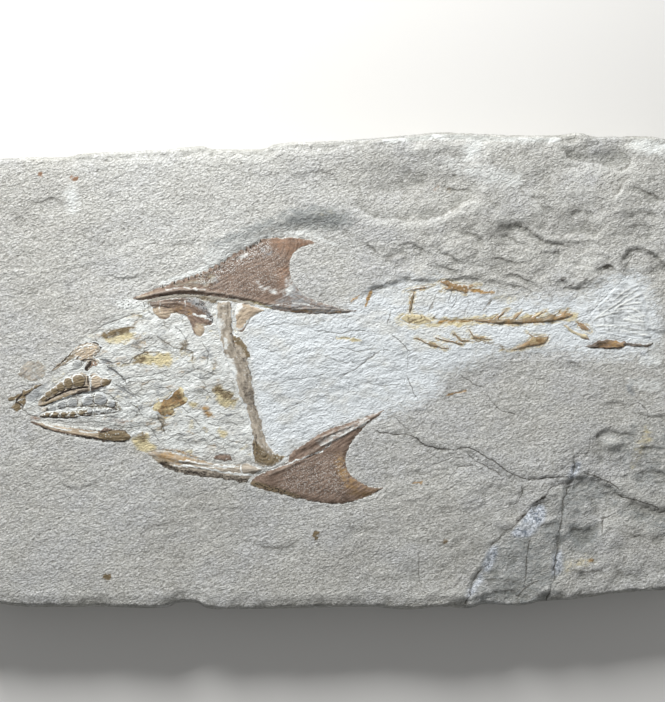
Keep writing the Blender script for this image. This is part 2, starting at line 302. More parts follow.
# Thin dark wrinkles of the skull, the cheek and the body: strength, half width, line.
WRINKLES = [
    (0.85, 0.22, [(-82.4, 0.6), (-79.4, -1.2), (-75.4, -4.4)]),
    (0.75, 0.22, [(-91, -9.2), (-87.4, -7.4), (-84.6, -7), (-81.4, -8.6), (-78.6, -11)]),
    (0.75, 0.22, [(-103, -12.6), (-99.6, -10.8), (-96, -9.8), (-92, -9.4)]),
    (0.65, 0.22, [(-106, -15), (-102.8, -14.8), (-99, -13.8), (-95.6, -13), (-91.6, -12.8)]),
    (0.85, 0.22, [(-113.4, -13.6), (-110, -15.4), (-106.6, -16.4)]),
    (0.65, 0.22, [(-110.6, -12.6), (-108, -11), (-107, -9)]),
    (0.65, 0.22, [(-100.6, -17.8), (-94, -18.6), (-88, -18.2), (-82, -18.6)]),
    (0.55, 0.22, [(-90, -16.6), (-84, -16.4), (-78, -17), (-73, -16)]),
    (0.6, 0.22, [(-86, -19.8), (-80, -19.6), (-74, -20.6), (-70, -19.8)]),
    (0.75, 0.22, [(-94.6, 0.4), (-91.4, 1.4), (-90, 4)]),
    (0.75, 0.22, [(-80.5, 2.8), (-76.5, 3.3), (-74.5, 3.8)]),
    (0.85, 0.22, [(-87.4, 5), (-81.6, 3.2), (-77.2, 3.2), (-74.2, 2.6), (-72.2, 4.8), (-68.6, 6.8)]),
    (0.75, 0.22, [(-63.7, 12.1), (-60.2, 10), (-57.1, 8.2), (-51.4, 7.1)]),
    (0.55, 0.22, [(-65, 8.6), (-61.5, 7.8), (-57.5, 6.2)]),
    (0.6, 0.22, [(-61.5, -1.4), (-55.8, -2.3), (-52.7, -0.5), (-49.3, 0.8)]),
    (0.5, 0.22, [(-55.4, 0.4), (-52.7, 1.2), (-49.3, 0.4)]),
    (0.55, 0.22, [(-50.1, -3.1), (-46.6, -2.5), (-44, -1.4)]),
    (0.55, 0.22, [(-51.4, -9.7), (-48.4, -8.2)]), (0.6, 0.22, [(-37.9, -25), (-34, -26), (-30.9, -25)]),
    (0.65, 0.22, [(-52.7, -16.7), (-50.5, -17.6), (-49.2, -19.4)]),
    (0.6, 0.22, [(-75.7, -2.6), (-65.9, -1.4), (-60.5, 0.2)]),
    (0.6, 0.22, [(-79.2, -4.5), (-73.7, -8), (-69.8, -9.6)]),
    (0.9, 0.3, [(-81.6, 1.4), (-78.4, -0.6), (-75.3, -3.3)]),
    (0.55, 0.22, [(-83.9, 17.8), (-80, 19.7), (-75.3, 19.7)]),
    (0.55, 0.22, [(-79.2, 18.5), (-74, 19.6), (-68.7, 19.3)]),
    (0.55, 0.22, [(-71.6, -16.1), (-66, -17), (-60, -21)]),
    (0.55, 0.22, [(-58, -24.6), (-50, -26.2), (-42, -26.8)]),
    (0.55, 0.22, [(-47, -22), (-40, -26), (-36, -27.5)]),
    (0.75, 0.22, [(-74, -11.5), (-71, -13), (-69.5, -16)]),
    (0.8, 0.2, [(-87.5, 13.5), (-83, 16.4), (-78, 18.6), (-72, 20.4)]),
    (0.6, 0.2, [(-86, 11.4), (-84.6, 7.6), (-85.6, 3.4)]),
    (0.7, 0.2, [(-69, -4.6), (-65, -3.2), (-61, -3.6), (-57, -2.2)]),
    (0.6, 0.2, [(-78, -11.6), (-74, -12.6), (-70.6, -12.4)]),
    (0.7, 0.2, [(-60, -24.6), (-56.6, -22.6), (-53, -23.4), (-48.6, -21.6)]),
    (0.6, 0.2, [(-48, -25.4), (-44.6, -23.4), (-41, -24.4)]),
    (0.7, 0.22, [(-64, -16), (-62.6, -18.6), (-61.4, -22)]),
    (0.6, 0.2, [(-54.6, -13.6), (-52, -16), (-50.6, -20.6)]),
    (0.6, 0.2, [(-47.6, 9.6), (-45.4, 6.2), (-46.2, 2.4)]),
    (0.6, 0.2, [(-71, 10.6), (-66.4, 11.8), (-62, 10.6)]), (0.5, 0.2, [(-77, 7.6), (-73, 8.6), (-70, 8)]),
    (0.5, 0.2, [(-57, 15.6), (-54.4, 13), (-53, 10)]),
    (0.6, 0.2, [(-68.6, -19.6), (-65.6, -21.6), (-63.4, -25)]),
    (0.5, 0.2, [(-58, -8), (-61, -6), (-65.4, -6.6)]),
    (0.6, 0.2, [(-45.6, -18.6), (-42, -19.6), (-38, -18.4), (-35.4, -19.6)]),
    (0.6, 0.2, [(-41.4, -15.4), (-38.4, -16.2), (-35, -15.2)]),
    (0.5, 0.2, [(-26, 16), (-20, 17), (-12, 16.6), (-5, 18)]),
    (0.5, 0.2, [(-24, -6), (-16, -3), (-8, -2.6), (0, 1)]),
    (0.5, 0.2, [(-18, -14), (-10, -10), (-2, -9)]),
    (0.6, 0.22, [(-6, 14.6), (2, 13.4), (8, 14.8), (14, 14)]),
    (0.6, 0.22, [(2, 8.6), (8, 7), (14, 8.2), (20, 7.2)]), (0.5, 0.2, [(6, 3.4), (12, 1.6), (18, 2.6)]),
    (0.5, 0.2, [(-2, 4.6), (4, 3), (8, 3.6)]), (0.5, 0.2, [(12, -4), (18, -5.4), (24, -4.4)]),
]


# ---------------------------------------------------------------- plan geometry
def smoothstep(share):
    """Ease from 0 to 1."""
    share = np.clip(share, 0.0, 1.0)
    return share * share * (3.0 - 2.0 * share)


def smooth_path(points, step, closed=False, sharp=()):
    """Points about `step` apart along the smooth curve through `points`, which turns at a sharp one."""
    knots = np.asarray(points, dtype=float)
    count = len(knots)
    path = []
    for i in range(count if closed else count - 1):
        j = (i + 1) % count
        start, end = knots[i], knots[j]
        before = knots[i - 1] if (closed or i > 0) and i not in sharp else start
        after = knots[(i + 2) % count] if (closed or i + 2 < count) and j not in sharp else end
        pieces = max(1, round(float(np.hypot(*(end - start))) / step))
        for k in range(pieces):
            t = k / pieces
            path.append(0.5 * (2 * start + (end - before) * t
                               + (2 * before - 5 * start + 4 * end - after) * t ** 2
                               + (3 * start - before - 3 * end + after) * t ** 3))
    if not closed:
        path.append(knots[-1])
    return np.array(path)


def path_field(places, path, closed=False, reach=9.0):
    """Each place's distance from a path, up to reach, its side (1 on the right) and its share along."""
    path = np.asarray(path, dtype=float)
    away = np.full(len(places), reach)
    side = np.ones(len(places))
    share = np.zeros(len(places))
    near = np.all((places > path.min(0) - reach) & (places < path.max(0) + reach), axis=1)
    spots = places[near]
    best, best_side, best_share = away[near], side[near], share[near]
    starts = path if closed else path[:-1]
    ends = np.roll(path, -1, axis=0) if closed else path[1:]
    for k, (start, end) in enumerate(zip(starts, ends)):
        run = end - start
        along = np.clip(((spots - start) @ run) / max(float(run @ run), 1e-9), 0.0, 1.0)
        gap = spots - (start + along[:, None] * run)
        distance = np.hypot(gap[:, 0], gap[:, 1])
        closer = distance < best
        cross = run[0] * gap[:, 1] - run[1] * gap[:, 0]
        best = np.where(closer, distance, best)
        best_side = np.where(closer, np.where(cross > 0, -1.0, 1.0), best_side)
        best_share = np.where(closer, (k + along) / len(starts), best_share)
    away[near], side[near], share[near] = best, best_side, best_share
    return away, side, share


def is_inside(places, outline):
    """Whether each place lies inside a closed outline."""
    inside = np.zeros(len(places), dtype=bool)
    for a, b in zip(outline, np.roll(outline, -1, axis=0)):
        if a[1] == b[1]:
            continue
        crosses = (a[1] > places[:, 1]) != (b[1] > places[:, 1])
        at = a[0] + (places[:, 1] - a[1]) * (b[0] - a[0]) / (b[1] - a[1])
        inside ^= crosses & (places[:, 0] < at)
    return inside


def depth_inside(places, outline, reach=9.0):
    """How far each place lies inside a closed outline, up to reach; negative outside."""
    outline = np.asarray(outline, dtype=float)
    near = np.all((places > outline.min(0) - reach) & (places < outline.max(0) + reach), axis=1)
    away = path_field(places[near], outline, closed=True, reach=reach)[0]
    depth = np.full(len(places), -reach)
    depth[near] = np.where(is_inside(places[near], outline), away, -away)
    return depth


def waves(places, wavelength, seed, octaves=1, stretch=1.0, turn=0.0):
    """Noise of about -1 to 1 at each place, drawn out `stretch` times along the direction `turn`."""
    angle = math.radians(turn)
    along = (places[:, 0] * math.cos(angle) + places[:, 1] * math.sin(angle)) / stretch
    across = places[:, 1] * math.cos(angle) - places[:, 0] * math.sin(angle)
    spots = zip(along / wavelength, across / wavelength)
    return np.array([noise.fractal((x, y, seed), 0.8, 2.1, octaves) for x, y in spots])


def wandered(places, wavelength, amount, seed):
    """The places pushed about by noise, which makes lines and edges ragged."""
    push = np.stack([waves(places, wavelength, seed, 3), waves(places, wavelength, seed + 7.5, 3)], 1)
    return places + push * amount


def terraced(field, step, riser):
    """A field cut into flat steps whose risers take the share `riser` of each."""
    level = np.floor(field / step)
    rest = field / step - level
    return step * (level + smoothstep((rest - 0.5) / riser + 0.5))


# ---------------------------------------------------------------- relief of the face
def draw_line(masks, signed, strength):
    """Keep a thin line where it is stronger than the earlier ones.

    `signed` is the distance from it in half widths, negative on one side, so that its edge stays
    crisp however wide the net is.
    """
    stronger = strength > masks["line"]
    masks["line"] = np.where(stronger, strength, masks["line"])
    masks["side"] = np.where(stronger, signed, masks["side"])


def ledge_drop(places, ledges, end_share, masks=None):
    """How far the ledges lower each place; they draw a dark line at their feet in the masks."""
    drop_here = np.zeros(len(places))
    for drop, width, back, line in ledges:
        away, side, _ = path_field(places, smooth_path(line, 2.0), reach=width + 3.2 * back)
        chord = np.subtract(line[-1], line[0])
        share = (places - line[0]) @ chord / (chord @ chord)
        ends = smoothstep(np.minimum(share, 1.0 - share) / end_share)
        fall = smoothstep(away / width) * np.exp(-np.maximum(0.0, away - width) / back)
        drop_here += np.where(side > 0, drop * ends * fall, 0.0)
        if masks:
            signed = (side * away - 0.7 * width) / 0.4
            strength = ends * min(0.9, 1.2 * drop / width) * smoothstep(2.2 - np.abs(signed) / 2.5)
            come_and_go = smoothstep(0.65 + waves(places, 8.0, 95.0, 2))
            draw_line(masks, signed, strength * come_and_go)
    return drop_here


def ground(places):
    """The face's main form, which the construction has too."""
    height = np.full(len(places), FACE_HEIGHT)
    for wavelength, rise in SWELLS:
        swell = [noise.noise((x / wavelength, y / wavelength, 5.0)) for x, y in places]
        height += rise * np.array(swell)
    for middle, half, rise in MOUNDS:
        reach = np.hypot(*((places - middle) / half).T)
        height += rise * smoothstep(1.0 - reach)
    ragged = wandered(wandered(places, 7.0, 1.3, 21.0), 1.8, 0.45, 33.0)
    return height - ledge_drop(ragged, LEDGES, LEDGE_ENDS)


def face_detail(places, zones, masks=None):
    """What flakes, lumps and cracks add to the face's main form; they draw lines in the masks."""
    ragged = wandered(wandered(places, 6.0, 1.0, 41.0), 1.6, 0.5, 43.0)
    height = np.zeros(len(places))
    calm = np.maximum(zones["body"], zones["head"])
    right = smoothstep((places[:, 0] + 10.0) / 60.0)
    upper = smoothstep((places[:, 1] - 18.0) / 20.0)
    lower = smoothstep((-22.0 - places[:, 1]) / 14.0)
    flaky = (0.3 + 0.7 * right * np.maximum(upper, lower)) * (1.0 - 0.75 * calm)
    flakes = waves(wandered(places, 5.0, 1.0, 3.0), 22.0, 11.0, 5, 1.6, 8.0)
    height += flaky * terraced(flakes * 1.3, 0.34, 0.14)
    height += flaky * 0.22 * waves(places, 7.0, 71.0, 4, 1.8, 12.0)
    height += 0.14 * waves(places, 3.2, 15.0, 3, 1.6, 6.0)
    height += 0.09 * waves(places, 1.7, 17.0, 2, 1.5, 6.0)
    height -= ledge_drop(ragged, FLAKES, FLAKE_ENDS, masks)
    height += zones["body"] * 0.16 * waves(places, 2.0, 5.0, 3, 5.0, 14.0)
    height += zones["head"] * 0.24 * waves(places, 3.4, 7.0, 3, 2.4, 12.0)
    for line in CRACKS:
        away, side, _ = path_field(ragged, smooth_path(line, 2.0))
        width = np.maximum(0.55 + 0.5 * waves(places, 9.0, 91.0), 0.3)
        height -= 0.6 * np.exp(-(away / width) ** 2)
        if masks:
            strength = 0.85 * smoothstep(0.75 + 1.2 * waves(places, 7.0, 97.0, 2))
            draw_line(masks, 2.2 * side * away / width, strength * smoothstep(2.2 - away / 1.4))
    fine = wandered(places, 2.5, 0.5, 51.0)
    for depth, half, line in HAIR_CRACKS:
        away, side, _ = path_field(fine, smooth_path(line, 1.0), reach=3.0)
        height -= 0.7 * depth * np.exp(-(away / half) ** 2)
        if masks:
            strength = min(0.9, 0.2 + 1.4 * depth) * smoothstep(2.2 - away / 1.1)
            draw_line(masks, 1.7 * side * away / half, strength)
    if masks:
        ledge_drop(ragged, LEDGES, LEDGE_ENDS, masks)
        for strength, half, line in WRINKLES:
            away, side, _ = path_field(fine, smooth_path(line, 0.8), reach=2.5)
            height -= 0.5 * half * np.exp(-(away / (half + 0.15)) ** 2)
            draw_line(masks, side * away / half, strength * smoothstep(2.2 - away / 0.8))
    return height


# ---------------------------------------------------------------- meshes
def mesh_object(name, bm, material):
    """Turn a bmesh into a smooth object of one material."""
    mesh = bpy.data.meshes.new(name)
    bm.to_mesh(mesh)
    bm.free()
    mesh.shade_smooth()
    mesh.materials.append(material)
    made = bpy.data.objects.new(name, mesh)
    bpy.context.scene.collection.objects.link(made)
    return made


def extrude_ring(bm, ring):
    """Extrude a closed ring of verts and return the new ring in the same order."""
    edges = [bm.edges.get((a, b)) for a, b in zip(ring, ring[1:] + ring[:1])]
    made = bmesh.ops.extrude_edge_only(bm, edges=edges)["geom"]
    twins = {item.co.to_tuple(6): item for item in made if isinstance(item, bmesh.types.BMVert)}
    return [twins[vert.co.to_tuple(6)] for vert in ring]


def spaced_lines(spans):
    """Shares 0 to 1 of a net's lines over its stretches, each with a spacing of its own."""
    lines = []
    for start, end, spacing in spans:
        count = round((end - start) / spacing)
        lines += [start + (end - start) * k / count for k in range(count)]
    low, high = spans[0][0], spans[-1][1]
    return (np.array(lines + [high]) - low) / (high - low)


def inset_ring(path, distance):
    """A closed clockwise ring moved inwards."""
    run = np.roll(path, -1, axis=0) - np.roll(path, 1, axis=0)
    normal = np.stack([run[:, 1], -run[:, 0]], 1) / np.hypot(run[:, 0], run[:, 1])[:, None]
    return path + normal * distance


def along(path, shares):
    """Places at the given shares of a path's length."""
    lengths = np.concatenate([[0.0], np.cumsum(np.hypot(*np.diff(path, axis=0).T))])
    at = np.asarray(shares) * lengths[-1]
    return np.stack([np.interp(at, lengths, path[:, 0]), np.interp(at, lengths, path[:, 1])], 1)


def slab_net():
    """The plan places of the face's net, a patch between the slab's four edges, and its size."""
    a, b, c, d = CORNERS
    knots = [a] + TOP_EDGE + [b] + RIGHT_EDGE + [c] + BOTTOM_EDGE + [d] + LEFT_EDGE
    ring = smooth_path(knots, 1.5, closed=True)
    ring = inset_ring(ring, RIM_INSET)
    turns = [int(np.argmin(np.hypot(*(ring - corner).T))) for corner in CORNERS]
    top = ring[turns[0]:turns[1] + 1]
    right = ring[turns[1]:turns[2] + 1][::-1]
    bottom = ring[turns[2]:turns[3] + 1][::-1]
    left = np.concatenate([ring[turns[3]:], ring[:turns[0] + 1]])
    u = spaced_lines(COLUMN_SPANS)
    v = spaced_lines(ROW_SPANS)
    low, high = along(bottom, u), along(top, u)
    west, east = along(left, v), along(right, v)
    us, vs = u[None, :, None], v[:, None, None]
    ruled = (1 - vs) * low[None] + vs * high[None] + (1 - us) * west[:, None] + us * east[:, None]
    corners = ((1 - us) * (1 - vs) * low[0] + us * (1 - vs) * low[-1]
               + (1 - us) * vs * high[0] + us * vs * high[-1])
    return (ruled - corners).reshape(-1, 2), len(u), len(v)


# ---------------------------------------------------------------- painting
MASKS = ("tone", "chalk", "yellow", "amber", "rust", "tan", "brown", "grey", "dark", "pits",
         "specks", "matrix")
SLAB_MASKS = MASKS + ("body", "head", "calcite", "vein", "line", "side", "flank")


def paint(places, masks, patches, lines, loose=1.0):
    """Raise the masks where patches and lines lie: each has its mask, strength, edge and points."""
    ragged = wandered(wandered(places, 3.0, 0.5 * loose, 61.0), 1.2, 0.3 * loose, 63.0)
    for mask, strength, soft, outline in patches:
        depth = depth_inside(ragged, smooth_path(outline, 1.0, closed=True), reach=2 * soft + 1)
        cover = strength * smoothstep(0.5 + depth / (2 * soft))
        masks[mask] = np.maximum(masks[mask], cover)
    for mask, strength, half, line in lines:
        away = path_field(ragged, smooth_path(line, 0.8), reach=3 * half)[0]
        cover = strength * smoothstep(1.5 - away / half)
        masks[mask] = np.maximum(masks[mask], cover)


def lay_scales(places, heights, masks, scales):
    """Raise low, uneven domes (x, y, radius, height, colour), each with a pale rim, a dark foot."""
    uneven = wandered(places, 1.6, 0.3, 65.0)
    for x, y, radius, height, colour in scales:
        gap = uneven - (x, y)
        reach = np.hypot(*gap.T) / radius
        upper = smoothstep(0.4 + (gap[:, 1] - 0.7 * gap[:, 0]) / (1.4 * radius))
        here = reach < 1.0
        heights += height * np.sqrt(np.maximum(0.0, 1.0 - reach ** 2))
        rim = smoothstep((reach - 0.74) / 0.2) * upper
        masks[colour] = np.where(here, 0.7 * (1.0 - rim) * (1.0 - 0.3 * upper), masks[colour])
        masks["chalk"] = np.where(here, 0.7 * rim, masks["chalk"])
        foot = smoothstep((reach - 0.94) / 0.08) * smoothstep((1.28 - reach) / 0.2)
        masks["dark"] = np.where(here, 0.0, np.maximum(masks["dark"], (0.6 - 0.4 * upper) * foot))


def hollowness(heights, columns, rows, passes=24):
    """How far each place of a net lies below (+) or above (-) its surroundings."""
    field = heights.reshape(rows, columns)
    level = field
    for _ in range(passes):
        wide = np.pad(level, 1, mode="edge")
        level = (4 * level + wide[:-2, 1:-1] + wide[2:, 1:-1] + wide[1:-1, :-2]
                 + wide[1:-1, 2:]) / 8
    return (level - field).ravel()


# ---------------------------------------------------------------- the slab
# Rings round the broken sides, from the face down: height, how far in from the silhouette.
SIDE_RINGS = [(18.6, 0.7), (17.0, 0.25), (15.2, 0.1), (12.8, 1.0), (10.4, 1.4), (7.4, 0.8),
              (4.0, 1.2), (0.0, 2.3)]
# Patches strewn over the skull and cheek: mask, strength, wavelength, seed, threshold.
SKULL_MOTTLES = [("chalk", 0.8, 4.0, 13.0, 0.0), ("tan", 0.3, 3.6, 23.0, 0.2),
                 ("grey", 0.35, 2.6, 27.0, 0.25), ("yellow", 0.25, 6.0, 29.0, 0.25)]
EDGE_WEAR, WEAR_WIDTH = 1.6, 4.0  # how far the face's rim is worn down, and over what width
DIP = 0.9  # how far the rock dips under each bone
CHIP_DEPTH = 0.5  # how far the small chips eat into the sides
RING_GAP = 0.3  # least height between the rings of the sides
FLANK_TONE = 0.3  # how strongly the sides' roughness shows in their colour
NO_STAIN = ("snout",)  # amber bones that leave the rock round them unstained
BEDDING = (0.15, 0.15, 1.0)  # draws the sides' bedding out along the slab
# Lumps in the rock between the jaws, under the brow and by the tail: x, y, radius, height, colour.
PEBBLES = [(-94.5, -11.2, 1.8, 0.2, "grey"), (-98.3, -12, 1.5, 0.3, "grey"),
           (-101.8, -13.3, 1.3, 0.25, "grey"), (-104.6, -13.9, 1.0, 0.2, "tan"),
           (-92.8, 3.2, 1.5, 0.3, "grey"), (-84.4, -12.8, 1.4, 0.25, "grey"),
           (-80.2, -11.6, 1.5, 0.3, "grey"), (-88.6, -12.8, 1.2, 0.2, "grey")]


def border(bm):
    """The open border of a sheet as one ring of verts, walked clockwise seen from above."""
    open_edges = [edge for edge in bm.edges if edge.is_boundary]
    here = open_edges[0].verts[0]  # the same vert in every run
    ring, edges = [here], set(open_edges)
    while edges:
        edge = next((edge for edge in here.link_edges if edge in edges), None)
        if edge is None:
            break
        edges.discard(edge)
        here = edge.other_vert(here)
        ring.append(here)
    ring.pop()
    path = np.array([vert.co[:2] for vert in ring])
    after = np.roll(path, -1, axis=0)
    turning = (path[:, 0] * after[:, 1] - after[:, 0] * path[:, 1]).sum()
    return ring[::-1] if turning > 0 else ring


def from_border(places, columns, rows):
    """Each place's distance from the ends of its own row and column in a net."""
    net = places.reshape(rows, columns, 2)
    ends = [net[:, :1], net[:, -1:], net[:1], net[-1:]]
    return np.minimum.reduce([np.hypot(*np.moveaxis(net - end, -1, 0)) for end in ends]).ravel()


def carved_net(places, heights, masks, columns, rows):
    """A grid laid on a net of places and heights, with its masks as layers that new verts inherit."""
    bm = bmesh.new()
    layers = [(bm.verts.layers.float.new(mask), values) for mask, values in masks.items()]
    bmesh.ops.create_grid(bm, x_segments=columns - 1, y_segments=rows - 1, size=0.5)
    for vert in bm.verts:
        column = round((vert.co.x + 0.5) * (columns - 1))
        row = round((vert.co.y + 0.5) * (rows - 1))
        spot = row * columns + column
        vert.co = (places[spot, 0] * MM, places[spot, 1] * MM, heights[spot] * MM)
        for layer, values in layers:
            vert[layer] = values[spot]
    return bm


def make_slab(material, bones):
    """The slab: its carved face, its broken sides and its flat back."""
    places, columns, rows = slab_net()
    masks = {mask: np.zeros(len(places)) for mask in SLAB_MASKS}
    masks["side"] += 3.0
    paint(places, masks, [("body", 1.0, 8.0, BODY_ZONE), ("head", 1.0, 3.0, HEAD_ZONE)] + STAINS,
          SLIVERS)
    bare = masks["head"] * (1.0 - np.maximum.reduce([masks["yellow"], masks["amber"], masks["brown"]]))
    for mask, strength, wavelength, seed, threshold in SKULL_MOTTLES:
        patchy = smoothstep((waves(places, wavelength, seed, 4, 1.8, 10.0) - threshold) / 0.3)
        masks[mask] = np.maximum(masks[mask], strength * patchy * bare)
    heights = ground(places) + face_detail(places, masks, masks)
    worn = EDGE_WEAR * (0.5 + 0.5 * waves(places, 9.0, 81.0, 3))
    heights -= worn * (1.0 - smoothstep(from_border(places, columns, rows) / WEAR_WIDTH))
    spots = wandered(places, *BONE_WANDER)
    for name, outlines in bones.items():
        depth = depth_of(outlines, spots)
        heights -= DIP * smoothstep((depth - 0.15) / 0.8)
        if BONES[name]["finish"] == "bone_amber" and name not in NO_STAIN:
            masks["yellow"] = np.maximum(masks["yellow"], 0.4 * smoothstep(0.9 + depth / 1.6))
            masks["amber"] = np.maximum(masks["amber"], 0.25 * smoothstep(0.9 + depth / 0.8))
    lay_scales(places, heights, masks, PEBBLES)
    masks["hollow"] = hollowness(heights, columns, rows)
    bm = carved_net(places, heights, masks, columns, rows)

    ring = border(bm)
    silhouette = inset_ring(np.array([vert.co[:2] for vert in ring]) / MM, -RIM_INSET)
    rise = [vert.co.z / MM for vert in ring]
    flank, hollow, chalk = (bm.verts.layers.float[mask] for mask in ("flank", "hollow", "chalk"))
    for height, inset in SIDE_RINGS:
        ring = extrude_ring(bm, ring)
        rough = waves(silhouette, 7.0, 3.0 + height, 4)
        chipped = 0.9 * inset + 0.5 * inset * (1 + rough)
        chipped += CHIP_DEPTH * np.maximum(0.0, waves(silhouette, 3.0, 23.0 + height, 3))
        path = inset_ring(silhouette, chipped[:, None])
        level = height + (0.8 * waves(silhouette, 12.0, 60.0 + height, 3) if height else 0.0)
        levels = np.broadcast_to(level, len(ring))
        for vert, (x, y), z, top, dark in zip(ring, path, levels, rise, FLANK_TONE * rough):
            vert.co = (x * MM, y * MM, min(z, top - RING_GAP) * MM)
            vert[flank], vert[hollow], vert[chalk] = 1.0, dark, 0.0
        rise = [vert.co.z / MM for vert in ring]
    bm.faces.new(ring)
    bmesh.ops.recalc_face_normals(bm, faces=bm.faces[:])
    return mesh_object("limestone_slab", bm, material)


# ---------------------------------------------------------------- the bones
BONE_EDGE = 0.06  # how far the rim of a bone stands above the ground
BONE_COVER = 0.12  # how far the rim of a bone lies below the rock that laps over it
BONE_WANDER = (1.6, 0.28, 19.0)  # wavelength, reach and seed of the ragged edge of the bones
BONE_SKIRT = 0.7  # how far past its outline a bone's net reaches under the rock
BONE_MARGIN = 1.2  # how far past its outline the net is laid out before it is cut

UPPER_FIN_ROD = [(-71, 26.4), (-65, 27.7), (-58.5, 28.8), (-52, 29.2), (-46.5, 28.6), (-40.5, 27.9),
                 (-32.5, 26.4), (-24, 24.4), (-16, 22.9), (-7, 22.1), (3.5, 21.6)]
UPPER_FIN_EDGE = [(-57, 31.2), (-49, 33.6), (-40.5, 37.9), (-36, 40.9), (-31, 43.1), (-25.5, 46.2)]
LOWER_FIN_ROD = [(-23.5, -37), (-14.5, -33.2), (-8, -29), (-2, -25), (4, -21.4), (10, -18.2),
                 (16, -15.2)]
GIRDLE_ROD = [(-39.5, 24), (-39.3, 16), (-36.5, 7.5), (-33, 0), (-31, -8), (-29, -16), (-27.6, -23),
              (-25.6, -30)]
LOWER_ARM_ROD = [(-65, -30), (-58, -31.4), (-50, -33.4), (-42, -34.9), (-34, -35.4), (-27.5, -35.5)]
JAW_LINE = [(-109, -18.6), (-100, -20.2), (-90, -22), (-80, -23.2), (-73, -23.6)]
TOOTH_LINE = [(-106.5, -11.5), (-100, -8.6), (-92, -5.4), (-81, -3.6)]
THORNS = [(-62.0, 30.4), (-57.8, 31.8), (-54.4, 32.4), (-52.8, 33.2), (-50.4, 34.0), (-48.2, 34.8),
          (-45.2, 35.6), (-43.6, 36.2), (-41.6, 37.6), (-39.8, 39.2), (-37.8, 39.6), (-36.0, 40.8),
          (-34, 42.4), (-32.0, 43.8), (-30.6, 44.7), (-29.2, 45.4), (-28, 46.1), (-26.8, 46.8)]
TAIL_RAYS = [
    [(98.3, 26.2), (101, 29.8), (104.9, 32.7), (107.6, 33.2)],
    [(100.2, 25.3), (104, 28.5), (108.7, 30.8)],
    [(101.5, 24.2), (105.3, 27.2), (109.5, 29.8)],
    [(102.3, 23.4), (107, 26), (110.3, 27.6)],
    [(100.2, 21.3), (102.3, 23.4), (107, 24.2), (110.6, 24.6)],
    [(101.9, 22.1), (107, 22.5), (110.8, 20), (113.2, 18.8)],
    [(104, 18.7), (107.4, 17.9), (111.2, 16.2)],
    [(103.2, 16.2), (107.4, 15.3), (111.7, 14.5)],
    [(103.2, 14.5), (108.7, 13.6), (113.4, 12.4)],
    [(101.5, 12.8), (107, 12.1), (112.5, 11.1)],
    [(105.3, 20.9), (110.8, 18.7)], [(105.7, 19.6), (111.2, 17.5)],
    [(92.5, 20), (94.7, 23), (98.3, 26.2)], [(91.6, 17.9), (97.2, 20), (101.9, 21.3)],
    [(92.1, 16.2), (98, 16.2), (103.2, 15.8)], [(92.5, 14.5), (98, 13.6), (101.9, 12.8)],
    [(93, 21.6), (95.6, 25), (99.5, 28.6)], [(93.4, 18.6), (98.8, 22.6), (101.5, 24.2)],
]
WHITE_CRACK = [(-33.0, -38.2), (-29.2, -37.8), (-22.8, -34.8), (-19.6, -33.2), (-17.0, -32.4)]
FIN_CRACK = [(-29.8, -38.0), (-22.8, -35.2), (-14.4, -32.6), (-8.0, -30.4), (-2.8, -27.4),
             (-0.8, -24.2)]
DENTICLES = [(-62.0, -34.0), (-56.2, -36.4), (-46.6, -38.2), (-32.4, -40.0), (-22.2, -42.6),
             (-13.2, -46.0)]
ARM_RIDGE = [(-57.4, -33.8), (-50.4, -34.4), (-42.6, -35.8), (-33.6, -37.0)]
ARM_SEAM = [(-56.2, -32.2), (-48.4, -33.0), (-41.4, -34.0), (-36.2, -34.0)]

SLIM = dict(finish="bone_amber", shoulder=0.4, edge=0.2, step=0.2, lapped=0.15, worn=0.0)
RIB = dict(SLIM, rise=0.17, mottle=("brown", 0.6, 1.0, -0.4))
